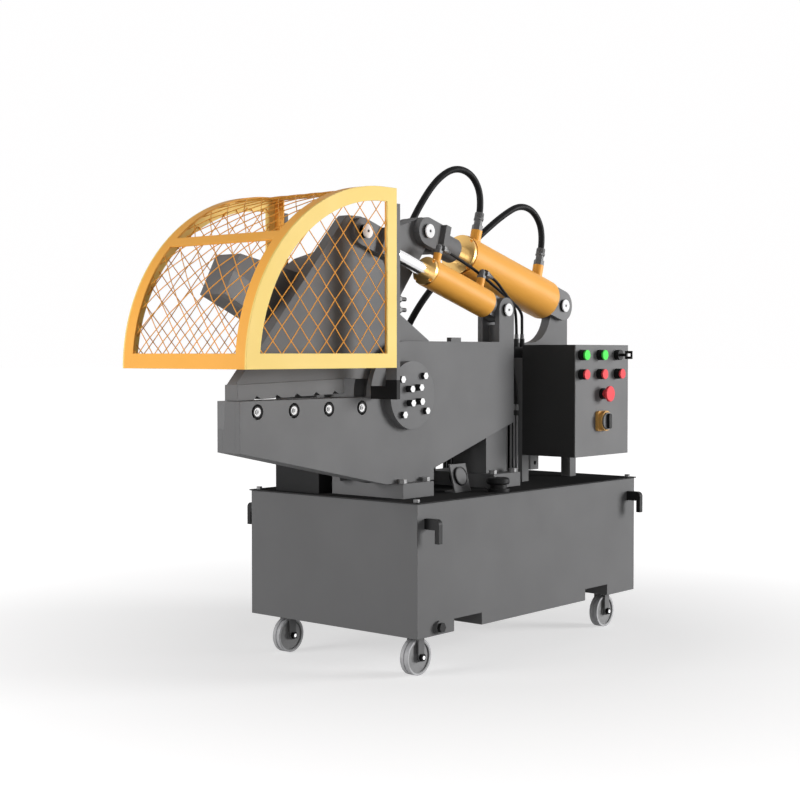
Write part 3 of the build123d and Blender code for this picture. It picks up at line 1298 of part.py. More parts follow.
def rotary_base():
    x, z = panel_place(ROTARY_ACROSS, ROTARY_DROP)
    face = Pos(x, z) * RectangleRounded(ROTARY_PLATE, ROTARY_PLATE, ROTARY_ROUND)
    front = BOX_NEAR_Y - ROTARY_PLATE_T - ROTARY_DRUM_L
    base = slab(face, BOX_NEAR_Y - ROTARY_PLATE_T, BOX_NEAR_Y) + round_y(x, z, ROTARY_DRUM_R, front, BOX_NEAR_Y)
    return base - round_y(x, z, ROTARY_STEM_R + CAP_CLEAR, front, BOX_NEAR_Y)


def rotary_handle():
    x, z = panel_place(ROTARY_ACROSS, ROTARY_DROP)
    front = BOX_NEAR_Y - ROTARY_PLATE_T - ROTARY_DRUM_L
    dial = round_y(x, z, ROTARY_DIAL_R, front - ROTARY_DIAL_T, front)
    grip = Pos(x, z) * RectangleRounded(ROTARY_HANDLE_W, ROTARY_HANDLE_L, ROTARY_HANDLE_W / 2.2)
    dial += slab(grip, front - ROTARY_DIAL_T - ROTARY_HANDLE_T, front - ROTARY_DIAL_T)
    return dial + round_y(x, z, ROTARY_STEM_R, front, BOX_NEAR_Y + BARREL_L / 2)


# Motor, pump, valves and fittings on the lid

def motor():
    body_z = DECK + MOTOR_FOOT_T
    top_z = body_z + MOTOR_BODY_H
    body = round_z(MOTOR_X, MOTOR_Y, MOTOR_FIN_R, DECK, body_z)
    body += round_z(MOTOR_X, MOTOR_Y, MOTOR_CORE_R, body_z, top_z)
    fins = [Rot(0, 0, 360 * i / MOTOR_FINS) * block(MOTOR_CORE_R - MOTOR_FIN_T, MOTOR_FIN_R, -MOTOR_FIN_T / 2,
            MOTOR_FIN_T / 2, body_z, top_z) for i in range(MOTOR_FINS)]
    body += [Pos(MOTOR_X, MOTOR_Y, 0) * fin for fin in fins]
    cowl = round_z(MOTOR_X, MOTOR_Y, MOTOR_COWL_R, top_z, top_z + MOTOR_COWL_H)
    cowl = fillet(cowl.faces().sort_by(Axis.Z)[-1].edges(), MOTOR_COWL_H / 6)
    box_y = MOTOR_Y + MOTOR_FIN_R
    mid_z = body_z + MOTOR_BODY_H / 2
    terminal = block(MOTOR_X - MOTOR_BOX_L / 2, MOTOR_X + MOTOR_BOX_L / 2, box_y, box_y + MOTOR_BOX_T,
                     mid_z - MOTOR_BOX_H / 2, mid_z + MOTOR_BOX_H / 2)
    return [body, cowl, terminal]


def pump():
    """Pump under the motor, with the suction pipe and strainer inside the tank."""
    low = DECK - PUMP_L
    body = round_z(MOTOR_X, MOTOR_Y, PUMP_R, low, DECK)
    body += round_z(MOTOR_X, MOTOR_Y, SUCTION_R, low - SUCTION_L, low)
    return body + round_z(MOTOR_X, MOTOR_Y, STRAINER_R, low - SUCTION_L - STRAINER_L, low - SUCTION_L)


def manifold():
    """The main valve block on the lid, and the clamp's block on the cylinder post with its feed pipes."""
    main = block(MANIFOLD_X - MANIFOLD_L / 2, MANIFOLD_X + MANIFOLD_L / 2, MANIFOLD_Y - MANIFOLD_W / 2,
                 MANIFOLD_Y + MANIFOLD_W / 2, DECK, DECK + MANIFOLD_H)
    for x in PORT_X:
        main += round_z(x, PORT_Y, PORT_FITTING_R, DECK + MANIFOLD_H, DECK + MANIFOLD_H + PORT_FITTING_H)
    clamp = block(CLAMP_BLOCK_X - CLAMP_BLOCK_L / 2, CLAMP_BLOCK_X + CLAMP_BLOCK_L / 2,
                  POST_NEAR_Y - CLAMP_BLOCK_T, POST_NEAR_Y, CLAMP_BLOCK_TOP - CLAMP_BLOCK_H, CLAMP_BLOCK_TOP)
    for x in CLAMP_STUB_X:
        clamp += round_z(x, CLAMP_STUB_Y, CLAMP_STUB_R, CLAMP_BLOCK_TOP, CLAMP_BLOCK_TOP + CLAMP_STUB_H)
    for x in CLAMP_FEED_X:
        clamp += round_z(x, CLAMP_STUB_Y, CLAMP_FEED_R, DECK, CLAMP_BLOCK_TOP - CLAMP_BLOCK_H)
    return [main, clamp]


def solenoid_valves():
    far = MANIFOLD_Y + MANIFOLD_W / 2
    z = DECK + MANIFOLD_H / 2
    valves = []
    for x in PORT_X:
        body = block(x - VALVE_W / 2, x + VALVE_W / 2, far, far + VALVE_D, z - VALVE_H / 2, z + VALVE_H / 2)
        valves.append(body + round_y(x, z, COIL_R, far + VALVE_D, far + VALVE_D + COIL_L))
    return valves


def gauge_place():
    """The gauge plate's own plane: up the tilted plate, facing the operator."""
    return Pos(GAUGE_X, GAUGE_Y, DECK) * Rot(-GAUGE_TILT, 0, 0)


def gauge_bracket():
    half = GAUGE_PLATE_W / 2
    hole_z = GAUGE_PLATE_H / 2 + GAUGE_PLATE_T
    plate = block(-half, half, 0, GAUGE_PLATE_T, 0, GAUGE_PLATE_H)
    plate -= round_y(0, hole_z, GAUGE_R - GAUGE_RIM_T / 2 + GAUGE_HOLE_CLEAR, 0, GAUGE_PLATE_T)
    bracket = gauge_place() * plate
    bracket += block(GAUGE_X - half, GAUGE_X + half, GAUGE_Y, GAUGE_Y + GAUGE_FOOT_L, DECK, DECK + GAUGE_PLATE_T)
    return bracket & block(GAUGE_X - half, GAUGE_X + half, FRAME_Y - TANK_W, TANK_W, DECK, DECK + 2 * GAUGE_PLATE_H)


def pressure_gauge():
    z = GAUGE_PLATE_H / 2 + GAUGE_PLATE_T
    rim = round_y(0, z, GAUGE_R, -GAUGE_RIM_T, 0)
    rim -= round_y(0, z, GAUGE_R - GAUGE_RIM_T / 2, -GAUGE_RIM_T, -GAUGE_RIM_T / 2)
    case = round_y(0, z, GAUGE_R - GAUGE_RIM_T / 2, 0, GAUGE_CASE_T)
    return gauge_place() * (rim + case)


def filler_neck():
    neck_z = DECK + FILLER_FLANGE_T
    neck = round_z(FILLER_X, FILLER_Y, FILLER_FLANGE_R, DECK, neck_z)
    neck += round_z(FILLER_X, FILLER_Y, FILLER_NECK_R, neck_z, neck_z + FILLER_NECK_H)
    return neck - round_z(FILLER_X, FILLER_Y, FILLER_BORE_R, DECK, neck_z + FILLER_NECK_H)


def filler_cap():
    seat = DECK + FILLER_FLANGE_T + FILLER_NECK_H
    cap = round_z(FILLER_X, FILLER_Y, FILLER_CAP_R, seat, seat + FILLER_CAP_T)
    cap = fillet(cap.edges().filter_by(GeomType.CIRCLE), FILLER_CAP_T / 3)
    return cap + round_z(FILLER_X, FILLER_Y, FILLER_PLUG_R, seat - FILLER_PLUG_L, seat)


# Hoses: routes chosen by hand, from the cylinder's fitting to the valve block

def main_port(place):
    """The hose's first two points, straight out of a main fitting."""
    turn = radians(MAIN_TILT)
    return [(POST_PIN_X - place * cos(turn) + up * sin(turn), JAW_Y,
             POST_PIN_Z + place * sin(turn) + up * cos(turn))
            for up in (MAIN_FITTING_TOP, MAIN_FITTING_TOP + THICK_HOSE_LEAD)]


def clamp_port(place):
    """The hose's first two points, straight out of a clamp elbow."""
    turn = radians(CLAMP_TILT)
    return [(EAR_PIN_X - along * cos(turn) + ELBOW_AT * sin(turn), CLAMP_Y,
             EAR_PIN_Z + along * sin(turn) + ELBOW_AT * cos(turn))
            for along in (place - ELBOW_L, place - ELBOW_L - THIN_HOSE_LEAD)]


def hose_routes():
    manifold_top = DECK + MANIFOLD_H + PORT_FITTING_H
    clamp_top = CLAMP_BLOCK_TOP + CLAMP_STUB_H
    front = [*main_port(MAIN_PORTS[1]), *MAIN_FRONT_ROUTE,
             (PORT_X[0], PORT_Y, manifold_top + MAIN_FRONT_DROP), (PORT_X[0], PORT_Y, manifold_top)]
    rear = [*main_port(MAIN_PORTS[0]), *MAIN_REAR_ROUTE,
            (PORT_X[1], PORT_Y, manifold_top + MAIN_REAR_DROP), (PORT_X[1], PORT_Y, manifold_top)]
    clamp_front = [*clamp_port(CLAMP_PORTS[1]), *CLAMP_FRONT_ROUTE,
                   (CLAMP_STUB_X[1], CLAMP_STUB_Y, clamp_top + THIN_HOSE_DROP),
                   (CLAMP_STUB_X[1], CLAMP_STUB_Y, clamp_top)]
    clamp_rear = [*clamp_port(CLAMP_PORTS[0]), *CLAMP_REAR_ROUTE,
                  (CLAMP_STUB_X[0], CLAMP_STUB_Y, clamp_top + THIN_HOSE_DROP),
                  (CLAMP_STUB_X[0], CLAMP_STUB_Y, clamp_top)]
    return {"hose_main_front": (front, THICK_HOSE_R), "hose_main_rear": (rear, THICK_HOSE_R),
            "hose_clamp_front": (clamp_front, THIN_HOSE_R), "hose_clamp_rear": (clamp_rear, THIN_HOSE_R)}


def hose(points, radius):
    points = [Vector(*point) for point in points]
    radii = []
    for before, here, after in zip(points, points[1:], points[2:]):
        turn = radians((here - before).get_angle(after - here))
        radii.append(ARC_SHARE * min((here - before).length, (after - here).length) / tan(turn / 2))
    path = FilletPolyline(*points, radius=radii)
    start = Plane(origin=points[0], z_dir=points[1] - points[0])
    tube = sweep(start * Circle(radius), path=path)
    return tube, path.length, radii


os.makedirs("parts", exist_ok=True)

save("tank_shell", *tank_shell())
save("tank_lid", tank_lid())
save("lifting_hooks", *lifting_hooks())
save("drain_plug", drain_plug())
save("caster_forks", *[caster_fork(x, y) for x, y in four_corners(WHEEL_X, WHEEL_Y)])
for end, end_name in ((-1, "front"), (1, "rear")):
    for side, side_name in ((-1, "near"), (1, "far")):
        save(f"wheel_{end_name}_{side_name}", wheel(end * WHEEL_X, side * WHEEL_Y))

save("near_side_plate", near_side_plate())
save("inner_side_plate", inner_side_plate())
save("far_side_plate", far_side_plate())
save("cylinder_post", cylinder_post())
save("frame_fillers", *frame_fillers(), rear_leg())
save("foot_blocks", foot_block(FOOT_FRONT_BLOCK_X), foot_block(FOOT_REAR_BLOCK_X))
save("frame_bolts", *lid_bolts(), *foot_bolts(), *guard_bolts(), *pivot_bolts())
save("pins_and_axles", *frame_pins(), *[caster_axle(x, y) for x, y in four_corners(WHEEL_X, WHEEL_Y)])
save("pivot_flange", pivot_flange())
save("lower_blade", lower_blade())
save("lower_blade_bolts", *lower_blade_bolts())

save("upper_jaw", upper_jaw())
save("upper_blade", *upper_blade())
save("clamp_arm", *clamp_arm())
save("main_barrel", *main_barrel())
save("main_fittings", *main_fittings())
save("main_clevis", main_clevis())
save("main_rod", *main_rod())
save("clamp_barrel", *clamp_barrel())
save("clamp_fittings", *clamp_fittings())
save("clamp_clevis", clamp_clevis())
save("clamp_rod", *clamp_rod())

save("guard_frame", *guard_frame())
MESH_INSET = GUARD_SHEET + MESH_WIRE / 2
save("guard_side_mesh", side_mesh(GUARD_NEAR_Y + MESH_INSET), side_mesh(GUARD_FAR_Y - MESH_INSET))
save("guard_front_mesh", front_mesh())
save("guard_supports", guard_bracket_near(), guard_bracket_far(), guard_pillar())

save("control_box", control_box())
save("control_panel", control_panel())
save("box_posts", *box_posts())
save("button_bezels", *button_bezels())
CAP_NAMES = ("green_button_1", "green_button_2", "", "red_button_1", "red_button_2", "red_button_3")
for cap_name, cap_place in zip(CAP_NAMES, button_places()):
    if cap_name:
        save(cap_name, button_cap(*cap_place))
save("key_switch", key_switch())
save("estop_button", estop_button())
save("rotary_base", rotary_base())
save("rotary_handle", rotary_handle())

save("motor", *motor())
save("pump", pump())
save("manifold", *manifold())
save("solenoid_valves", *solenoid_valves())
save("gauge_bracket", gauge_bracket())
save("pressure_gauge", pressure_gauge())
save("filler_neck", filler_neck())
save("filler_cap", filler_cap())

for hose_name, (route, hose_r) in hose_routes().items():
    tube, length, radii = hose(route, hose_r)
    section = pi * hose_r ** 2 * length
    print(hose_name, "length", round(length), "volume ratio", round(tube.volume / section, 4),
          "radii", [round(r) for r in radii])
    save(hose_name, tube)
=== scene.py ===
import math

import bmesh
import bpy
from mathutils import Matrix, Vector


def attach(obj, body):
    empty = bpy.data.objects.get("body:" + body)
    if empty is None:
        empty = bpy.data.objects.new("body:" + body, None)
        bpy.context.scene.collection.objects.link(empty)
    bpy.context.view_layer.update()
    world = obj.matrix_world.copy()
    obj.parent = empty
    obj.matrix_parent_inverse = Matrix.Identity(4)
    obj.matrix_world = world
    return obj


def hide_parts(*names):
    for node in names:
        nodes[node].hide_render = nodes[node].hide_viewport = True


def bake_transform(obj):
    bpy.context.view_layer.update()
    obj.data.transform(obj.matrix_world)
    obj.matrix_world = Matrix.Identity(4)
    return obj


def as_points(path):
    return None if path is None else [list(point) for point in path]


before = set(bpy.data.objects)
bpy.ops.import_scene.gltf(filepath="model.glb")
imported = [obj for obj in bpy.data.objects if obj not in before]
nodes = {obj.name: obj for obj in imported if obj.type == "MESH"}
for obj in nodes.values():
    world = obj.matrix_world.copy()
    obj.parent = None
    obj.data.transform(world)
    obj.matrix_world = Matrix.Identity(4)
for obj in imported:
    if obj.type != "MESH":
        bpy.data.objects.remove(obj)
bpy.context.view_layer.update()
MM = 0.001


# Places of the solids and of the paint on them, in millimetres: X to the rear, Y to the far side, Z up

WHEEL_X, WHEEL_Z, TYRE_INNER_R = 411.0, 44.0, 39.2
AXLE_SPOT_R, CASTER_TOP = 4.5, 100.0
FLANGE_BOLT_LOW, GUARD_BOLT_LOW = 550.0, 800.0
# Height under which the guard supports are painted black, as painted shade
SUPPORT_SHADE_TOP = 706.0
SCREW_X, SCREW_PITCH, SCREW_Z, SCREW_R, SOCKET_R = -886.0, 112.5, 641.0, 9.4, 5.6
# Shifts of the dark and the pale disc that leave a painted shade crescent in each screw socket
SOCKET_SHADE_SHIFT, SOCKET_PALE_SHIFT = -1.5, 1.0
# Nearer than these distances the pins are painted black, as painted shade on their flanks
REAR_PIN_LOW, REAR_PIN_BLACK_Y = 800.0, -85.5
MAIN_PIN_BLACK_Y, CLAMP_PIN_BLACK_Y = -90.0, -155.0
ROTARY_BAR_Y = -323.3

# The cylinders' pins, the tilt between them, and from the rear pin along the axis the lug's end and the gland
MAIN_REAR, MAIN_FRONT = Vector((405.0, -55.5, 903.0)), Vector((-219.0, -55.5, 1075.0))
CLAMP_REAR, CLAMP_FRONT = Vector((20.5, -131.0, 881.0)), Vector((-535.0, -131.0, 1051.0))
MAIN_TURN = math.atan2(MAIN_FRONT.z - MAIN_REAR.z, MAIN_REAR.x - MAIN_FRONT.x)
CLAMP_TURN = math.atan2(CLAMP_FRONT.z - CLAMP_REAR.z, CLAMP_REAR.x - CLAMP_FRONT.x)
MAIN_LUG_END, MAIN_GLAND_START = 62.5, 457.5
CLAMP_LUG_END, CLAMP_GLAND_START = 54.5, 302.5

# The guard, and its sheet, bands and arch
NEAR_Y, FAR_Y, REAR_X, FRONT_X, GUARD_Z, GUARD_TOP = -245.0, 150.0, -518.0, -996.0, 734.0, 1146.0
SHEET, BAND, ARCH, FLAT_TOP = 4.0, 33.0, 39.0, 45.0
SHEET_PAINT_LAP = 0.5
ARCH_X = REAR_X - FLAT_TOP

# The thin pipes, with the nut on each and the dark stretch under it
PIPE_X, PIPE_R, PIPE_FOOT, PIPE_BEND, PIPE_NUT = 128.0, 2.7, 420.0, 690.0, 614.0
NUT_L, DARK_L = 16.0, 14.0

NEAR, FAR, UP, DOWN = (0, -1, 0), (0, 1, 0), (0, 0, 1), (0, 0, -1)


# Small shader builder

NOISE_ROUGHNESS = 0.55


def new_material(name):
    mat = bpy.data.materials.new(name)
    mat.use_nodes = True
    return mat, mat.node_tree, mat.node_tree.nodes["Principled BSDF"]


def find_input(node, key):
    """The input with that name, or with that number where the key is i0, i1 and so on."""
    if key[0] == "i" and key[1:].isdigit():
        return node.inputs[int(key[1:])]
    return node.inputs[key.replace("_", " ")]


def add(tree, kind, **values):
    """A shader node. Names of inputs take a value or a socket, other names are the node's own settings."""
    node = tree.nodes.new("ShaderNode" + kind)
    settings = [key for key in values if key in node.bl_rna.properties]
    for key in settings:
        setattr(node, key, values[key])
    for key, value in values.items():
        if key in settings:
            continue
        socket = find_input(node, key)
        if isinstance(value, bpy.types.NodeSocket):
            tree.links.new(value, socket)
        else:
            socket.default_value = value
    return node


def object_coords(tree):
    return add(tree, "TexCoord").outputs["Object"]


def noise(tree, coords, scale, detail=3.0, stretch=None):
    if stretch:
        coords = add(tree, "Mapping", Vector=coords, Scale=stretch).outputs["Vector"]
    node = add(tree, "TexNoise", Vector=coords, Scale=scale, Detail=detail, Roughness=NOISE_ROUGHNESS)
    return node.outputs["Fac"]


def spread(tree, value, low, high, start=0.3, end=0.7):
    """A value carried from the range start to end over to the range low to high."""
    node = add(tree, "MapRange", Value=value, From_Min=start, From_Max=end, To_Min=low, To_Max=high)
    return node.outputs["Result"]


def math_node(tree, operation, a, b=0.0):
    return add(tree, "Math", operation=operation, i0=a, i1=b).outputs["Value"]


def vector_math(tree, operation, output, a, b=(0.0, 0.0, 0.0)):
    return add(tree, "VectorMath", operation=operation, i0=a, i1=b).outputs[output]


def mix_colour(tree, factor, a, b):
    node = add(tree, "Mix", data_type="RGBA")
    for index, value in ((0, factor), (6, a), (7, b)):
        if isinstance(value, bpy.types.NodeSocket):
            tree.links.new(value, node.inputs[index])
        elif index == 0:
            node.inputs[0].default_value = value
        else:
            node.inputs[index].default_value = (*value, 1.0)
    return node.outputs[2]


def tint(colour, factor):
    return tuple(min(1.0, c * factor) for c in colour)


def drift_colour(tree, factor, colour, down, up):
    """A colour that drifts with a noise, from a share darker to a share paler."""
    return mix_colour(tree, spread(tree, factor, 0.0, 1.0), tint(colour, 1 - down), tint(colour, 1 + up))


def length_of(tree, a, b):
    """Root of the sum of two squares."""
    total = math_node(tree, "ADD", math_node(tree, "MULTIPLY", a, a), math_node(tree, "MULTIPLY", b, b))
    return math_node(tree, "SQRT", total)


# Tests on the coordinates, 1 where a finish has another colour. Distances are in millimetres

NEAR_FACING = -0.7


def beyond(way, start, end=None):
    """1 where the distance along a direction lies past start, and short of end."""
    def test(tree, coords):
        along = vector_math(tree, "DOT_PRODUCT", "Value", coords, way)
        inside = math_node(tree, "GREATER_THAN", along, start * MM)
        if end is None:
            return inside
        return math_node(tree, "MULTIPLY", inside, math_node(tree, "LESS_THAN", along, end * MM))
    return test


def both(first, second):
    """1 where two tests are."""
    def test(tree, coords):
        return math_node(tree, "MULTIPLY", first(tree, coords), second(tree, coords))
    return test


def round_row(first_x, radius, inside=False):
    """1 outside, or inside, a radius round the nearest of the lower blade's row of screws."""
    def test(tree, coords):
        split = add(tree, "SeparateXYZ", Vector=coords)
        from_first = math_node(tree, "SUBTRACT", split.outputs["X"], first_x * MM)
        across = math_node(tree, "PINGPONG", from_first, SCREW_PITCH / 2 * MM)
        up = math_node(tree, "SUBTRACT", split.outputs["Z"], SCREW_Z * MM)
        side = "LESS_THAN" if inside else "GREATER_THAN"
        return math_node(tree, side, length_of(tree, across, up), radius * MM)
    return test


def axle_flanks(tree, coords):
    """1 on the casters' axles but for a spot at the middle of each end."""
    split = add(tree, "SeparateXYZ", Vector=coords)
    across = math_node(tree, "SUBTRACT", math_node(tree, "ABSOLUTE", split.outputs["X"]), WHEEL_X * MM)
    reach = length_of(tree, across, math_node(tree, "SUBTRACT", split.outputs["Z"], WHEEL_Z * MM))
    low = math_node(tree, "LESS_THAN", split.outputs["Z"], CASTER_TOP * MM)
    return math_node(tree, "MULTIPLY", low, math_node(tree, "GREATER_THAN", reach, AXLE_SPOT_R * MM))


def turned_from_near(tree, coords):
    """1 on faces that don't look towards the near side."""
    normal = add(tree, "NewGeometry").outputs["Normal"]
    facing = add(tree, "SeparateXYZ", Vector=normal).outputs["Y"]
    return math_node(tree, "GREATER_THAN", facing, NEAR_FACING)


# Kinds of finish. Grains are in cycles per metre, bump depths and edge radii in metres

BROAD_GRAIN, DULL_GRAIN, PATCH_GRAIN, FINE_GRAIN, PEEL_GRAIN = 3.2, 9.0, 28.0, 210.0, 520.0
METAL_CLOUD, PLASTIC_CLOUD, PLASTIC_GRAIN, HOSE_DUST, WHEEL_SCUFF = 14.0, 40.0, 900.0, 30.0, 60.0
PEEL_DEPTH, METAL_DEPTH, PLASTIC_DEPTH, WRAP_DEPTH, SCUFF_DEPTH = 0.0004, 0.0002, 0.0003, 0.0005, 0.0005
METAL_EDGE_R, PLASTIC_EDGE_R, WHEEL_EDGE_R = 0.0009, 0.0007, 0.0012
BEVEL_SAMPLES = 4
WEAR_REACH, WEAR_SHARP, WEAR_FLAT = 0.0022, 0.86, 0.985
FLECK_TINT, FLECK_SHARE, FLECK_FROM, FLECK_TO = 1.12, 0.10, 0.35, 0.75
PATCH_FROM, PATCH_TO = 0.42, 0.62
PAINT_SHINE, PAINT_DULL, METAL_SHINE, METAL_DULL = 0.05, 0.07, 0.07, 0.10
METAL_PALER = 0.6
PLASTIC_DRIFT, PLASTIC_SHINE, PLASTIC_DULL, PLASTIC_BUMP = 0.06, 0.46, 0.56, 0.08
HOSE_BLACK, HOSE_DUSTY = (0.004, 0.004, 0.0044), (0.008, 0.008, 0.0084)
HOSE_SHINE, HOSE_DULL, HOSE_SPECULAR, WRAP_BUMP = 0.40, 0.58, 0.1, 0.25
TYRE_DARK, TYRE_PALE = (0.34, 0.34, 0.35), (0.48, 0.48, 0.49)
DISC_DARK, DISC_PALE = (0.17, 0.17, 0.172), (0.22, 0.22, 0.223)
WHEEL_SHINE, WHEEL_DULL, SCUFF_BUMP = 0.42, 0.62, 0.12


def bevelled(tree, radius):
    return add(tree, "Bevel", samples=BEVEL_SAMPLES, Radius=radius).outputs["Normal"]


def edge_mask(tree):
    """1 on sharp outer edges, 0 on flats."""
    normal = add(tree, "NewGeometry").outputs["Normal"]
    dot = vector_math(tree, "DOT_PRODUCT", "Value", bevelled(tree, WEAR_REACH), normal)
    return spread(tree, dot, 1.0, 0.0, WEAR_SHARP, WEAR_FLAT)


def rounded_bump(tree, height, strength, distance, radius):
    """A bump over edges that are rounded by a radius, in metres."""
    normal = bevelled(tree, radius)
    node = add(tree, "Bump", Strength=strength, Distance=distance, Height=height, Normal=normal)
    return node.outputs["Normal"]


def paint(name, colour, rough=0.56, mottle=0.05, peel=0.12, wear=1.35, worn=0.5, radius=0.0014, specular=0.12,
          bands=()):
    """Sprayed paint: broad tone drift, fine orange peel, thin bright edges and a few dull patches.
    bands holds (test on the coordinates, other colour) for other colours on the same solid, painted shade and
    painted highlight among them."""
    mat, tree, bsdf = new_material(name)
    coords = object_coords(tree)
    broad = noise(tree, coords, BROAD_GRAIN, 4.0)
    fine = noise(tree, coords, FINE_GRAIN, 2.0)
    tone = drift_colour(tree, broad, colour, mottle, mottle)
    flecks = spread(tree, fine, 0.0, FLECK_SHARE, FLECK_FROM, FLECK_TO)
    tone = mix_colour(tree, flecks, tone, tint(colour, FLECK_TINT))
    patchy = spread(tree, noise(tree, coords, PATCH_GRAIN, 5.0), 0.0, 1.0, PATCH_FROM, PATCH_TO)
    edges = math_node(tree, "MULTIPLY", math_node(tree, "MULTIPLY", edge_mask(tree), patchy), worn)
    tone = mix_colour(tree, edges, tone, tint(colour, wear))
    for test, other in bands:
        tone = mix_colour(tree, test(tree, coords), tone, drift_colour(tree, broad, other, mottle, mottle))
    tree.links.new(tone, bsdf.inputs["Base Color"])
    dull = noise(tree, coords, DULL_GRAIN, 5.0)
    tree.links.new(spread(tree, dull, rough - PAINT_SHINE, rough + PAINT_DULL), bsdf.inputs["Roughness"])
    bsdf.inputs["Specular IOR Level"].default_value = specular
    peel_height = noise(tree, coords, PEEL_GRAIN, 1.0)
    tree.links.new(rounded_bump(tree, peel_height, peel, PEEL_DEPTH, radius), bsdf.inputs["Normal"])
    return mat


def metal(name, colour, rough, scale, bands, strength=0.1, drift=0.1, stretch=None):
    """Bare or plated metal. stretch draws the grain out along one direction."""
    mat, tree, bsdf = new_material(name)
    coords = object_coords(tree)
    tone = drift_colour(tree, noise(tree, coords, METAL_CLOUD, 4.0), colour, drift, drift * METAL_PALER)
    for test, other in bands:
        tone = mix_colour(tree, test(tree, coords), tone, other)
    tree.links.new(tone, bsdf.inputs["Base Color"])
    bsdf.inputs["Metallic"].default_value = 1.0
    grain = noise(tree, coords, scale, stretch=stretch)
    tree.links.new(spread(tree, grain, rough - METAL_SHINE, rough + METAL_DULL), bsdf.inputs["Roughness"])
    tree.links.new(rounded_bump(tree, grain, strength, METAL_DEPTH, METAL_EDGE_R), bsdf.inputs["Normal"])
    return mat


def plastic(name, colour, specular, bands=()):
    """Moulded plastic with a faint cloud and a fine grain."""
    mat, tree, bsdf = new_material(name)
    coords = object_coords(tree)
    cloud = noise(tree, coords, PLASTIC_CLOUD)
    tone = drift_colour(tree, cloud, colour, PLASTIC_DRIFT, PLASTIC_DRIFT)
    for test, other in bands:
        tone = mix_colour(tree, test(tree, coords), tone, other)
    tree.links.new(tone, bsdf.inputs["Base Color"])
    tree.links.new(spread(tree, cloud, PLASTIC_SHINE, PLASTIC_DULL), bsdf.inputs["Roughness"])
    bsdf.inputs["Specular IOR Level"].default_value = specular
    grain = noise(tree, coords, PLASTIC_GRAIN, 1.0)
    bump = rounded_bump(tree, grain, PLASTIC_BUMP, PLASTIC_DEPTH, PLASTIC_EDGE_R)
    tree.links.new(bump, bsdf.inputs["Normal"])
    return mat


def rubber_hose(name):
    """Wrapped hose cover: fine cloth print in bands round the hose, read from its own UV."""
    mat, tree, bsdf = new_material(name)
    uv = add(tree, "TexCoord").outputs["UV"]
    wrap = add(tree, "TexWave", bands_direction="DIAGONAL", wave_profile="SIN", Vector=uv, Scale=1.0,
               Distortion=0.4, Detail=1.0).outputs["Fac"]
    dust = noise(tree, object_coords(tree), HOSE_DUST, 5.0)
    tone = mix_colour(tree, spread(tree, dust, 0.0, 1.0), HOSE_BLACK, HOSE_DUSTY)
    tree.links.new(tone, bsdf.inputs["Base Color"])
    tree.links.new(spread(tree, dust, HOSE_SHINE, HOSE_DULL), bsdf.inputs["Roughness"])
    bsdf.inputs["Specular IOR Level"].default_value = HOSE_SPECULAR
    bump = add(tree, "Bump", Strength=WRAP_BUMP, Distance=WRAP_DEPTH, Height=wrap).outputs["Normal"]
    tree.links.new(bump, bsdf.inputs["Normal"])
    return mat


def wheel_material(name, centre_x):
    """Pale tyre and darker moulded disc, told apart by the distance from the axle."""
    mat, tree, bsdf = new_material(name)
    coords = object_coords(tree)
    offset = vector_math(tree, "SUBTRACT", "Vector", coords, (centre_x * MM, 0.0, WHEEL_Z * MM))
    flat = vector_math(tree, "MULTIPLY", "Vector", offset, (1.0, 0.0, 1.0))
    tyre = math_node(tree, "GREATER_THAN", vector_math(tree, "LENGTH", "Value", flat), TYRE_INNER_R * MM)
    scuff = noise(tree, coords, WHEEL_SCUFF, 5.0)
    rim = mix_colour(tree, spread(tree, scuff, 0.0, 1.0), TYRE_DARK, TYRE_PALE)
    disc = mix_colour(tree, spread(tree, scuff, 0.0, 1.0), DISC_DARK, DISC_PALE)
    tree.links.new(mix_colour(tree, tyre, disc, rim), bsdf.inputs["Base Color"])
    tree.links.new(spread(tree, scuff, WHEEL_SHINE, WHEEL_DULL), bsdf.inputs["Roughness"])
    bump = rounded_bump(tree, scuff, SCUFF_BUMP, SCUFF_DEPTH, WHEEL_EDGE_R)
    tree.links.new(bump, bsdf.inputs["Normal"])
    return mat


# Finishes of this machine

GREY = (0.140, 0.140, 0.142)
ORANGE = (0.97, 0.46, 0.085)
LIT_SHEET_YELLOW = (1.0, 0.72, 0.225)
BARREL = (0.88, 0.41, 0.066)
GOLD = (0.76, 0.48, 0.17)
BLACK = (0.012, 0.012, 0.0125)
WHITE_ZINC = (0.86, 0.86, 0.865)
DULL_ZINC = (0.34, 0.34, 0.343)
CHROME = (0.90, 0.90, 0.91)
WELL_BEHIND, GLAND_ROUGH_SHARE = 1000.0, 0.7


def barrel_finish(name, turn, pin, lug_end, gland_start):
    """Orange tube between a grey rear lug and a polished gland, along the cylinder's axis."""
    way = Vector((-math.cos(turn), 0, math.sin(turn)))
    zero = way.dot(pin)
    gland = beyond(way, zero + gland_start)
    lug = beyond(way, zero - WELL_BEHIND, zero + lug_end)
    mat = paint(name, BARREL, rough=0.44, mottle=0.03, wear=1.15, worn=0.3, specular=0.2,
                bands=((lug, GREY), (gland, GOLD)))
    tree = mat.node_tree
    bsdf = tree.nodes["Principled BSDF"]
    polished = gland(tree, object_coords(tree))
    tree.links.new(polished, bsdf.inputs["Metallic"])
    rough = math_node(tree, "MULTIPLY", bsdf.inputs["Roughness"].links[0].from_socket,
                      spread(tree, polished, 1.0, GLAND_ROUGH_SHARE, 0.0, 1.0))
    tree.links.new(rough, bsdf.inputs["Roughness"])
    return mat


def rod_chrome(name, black_y):
    """Polished rod, with its pin painted black on the near side of a distance: painted shade on the pin's
    flank.
    """
    return metal(name, CHROME, rough=0.12, scale=12.0, strength=0.02, drift=0.03, stretch=(60.0, 1.0, 1.0),
                 bands=((beyond(NEAR, -black_y), BLACK),))


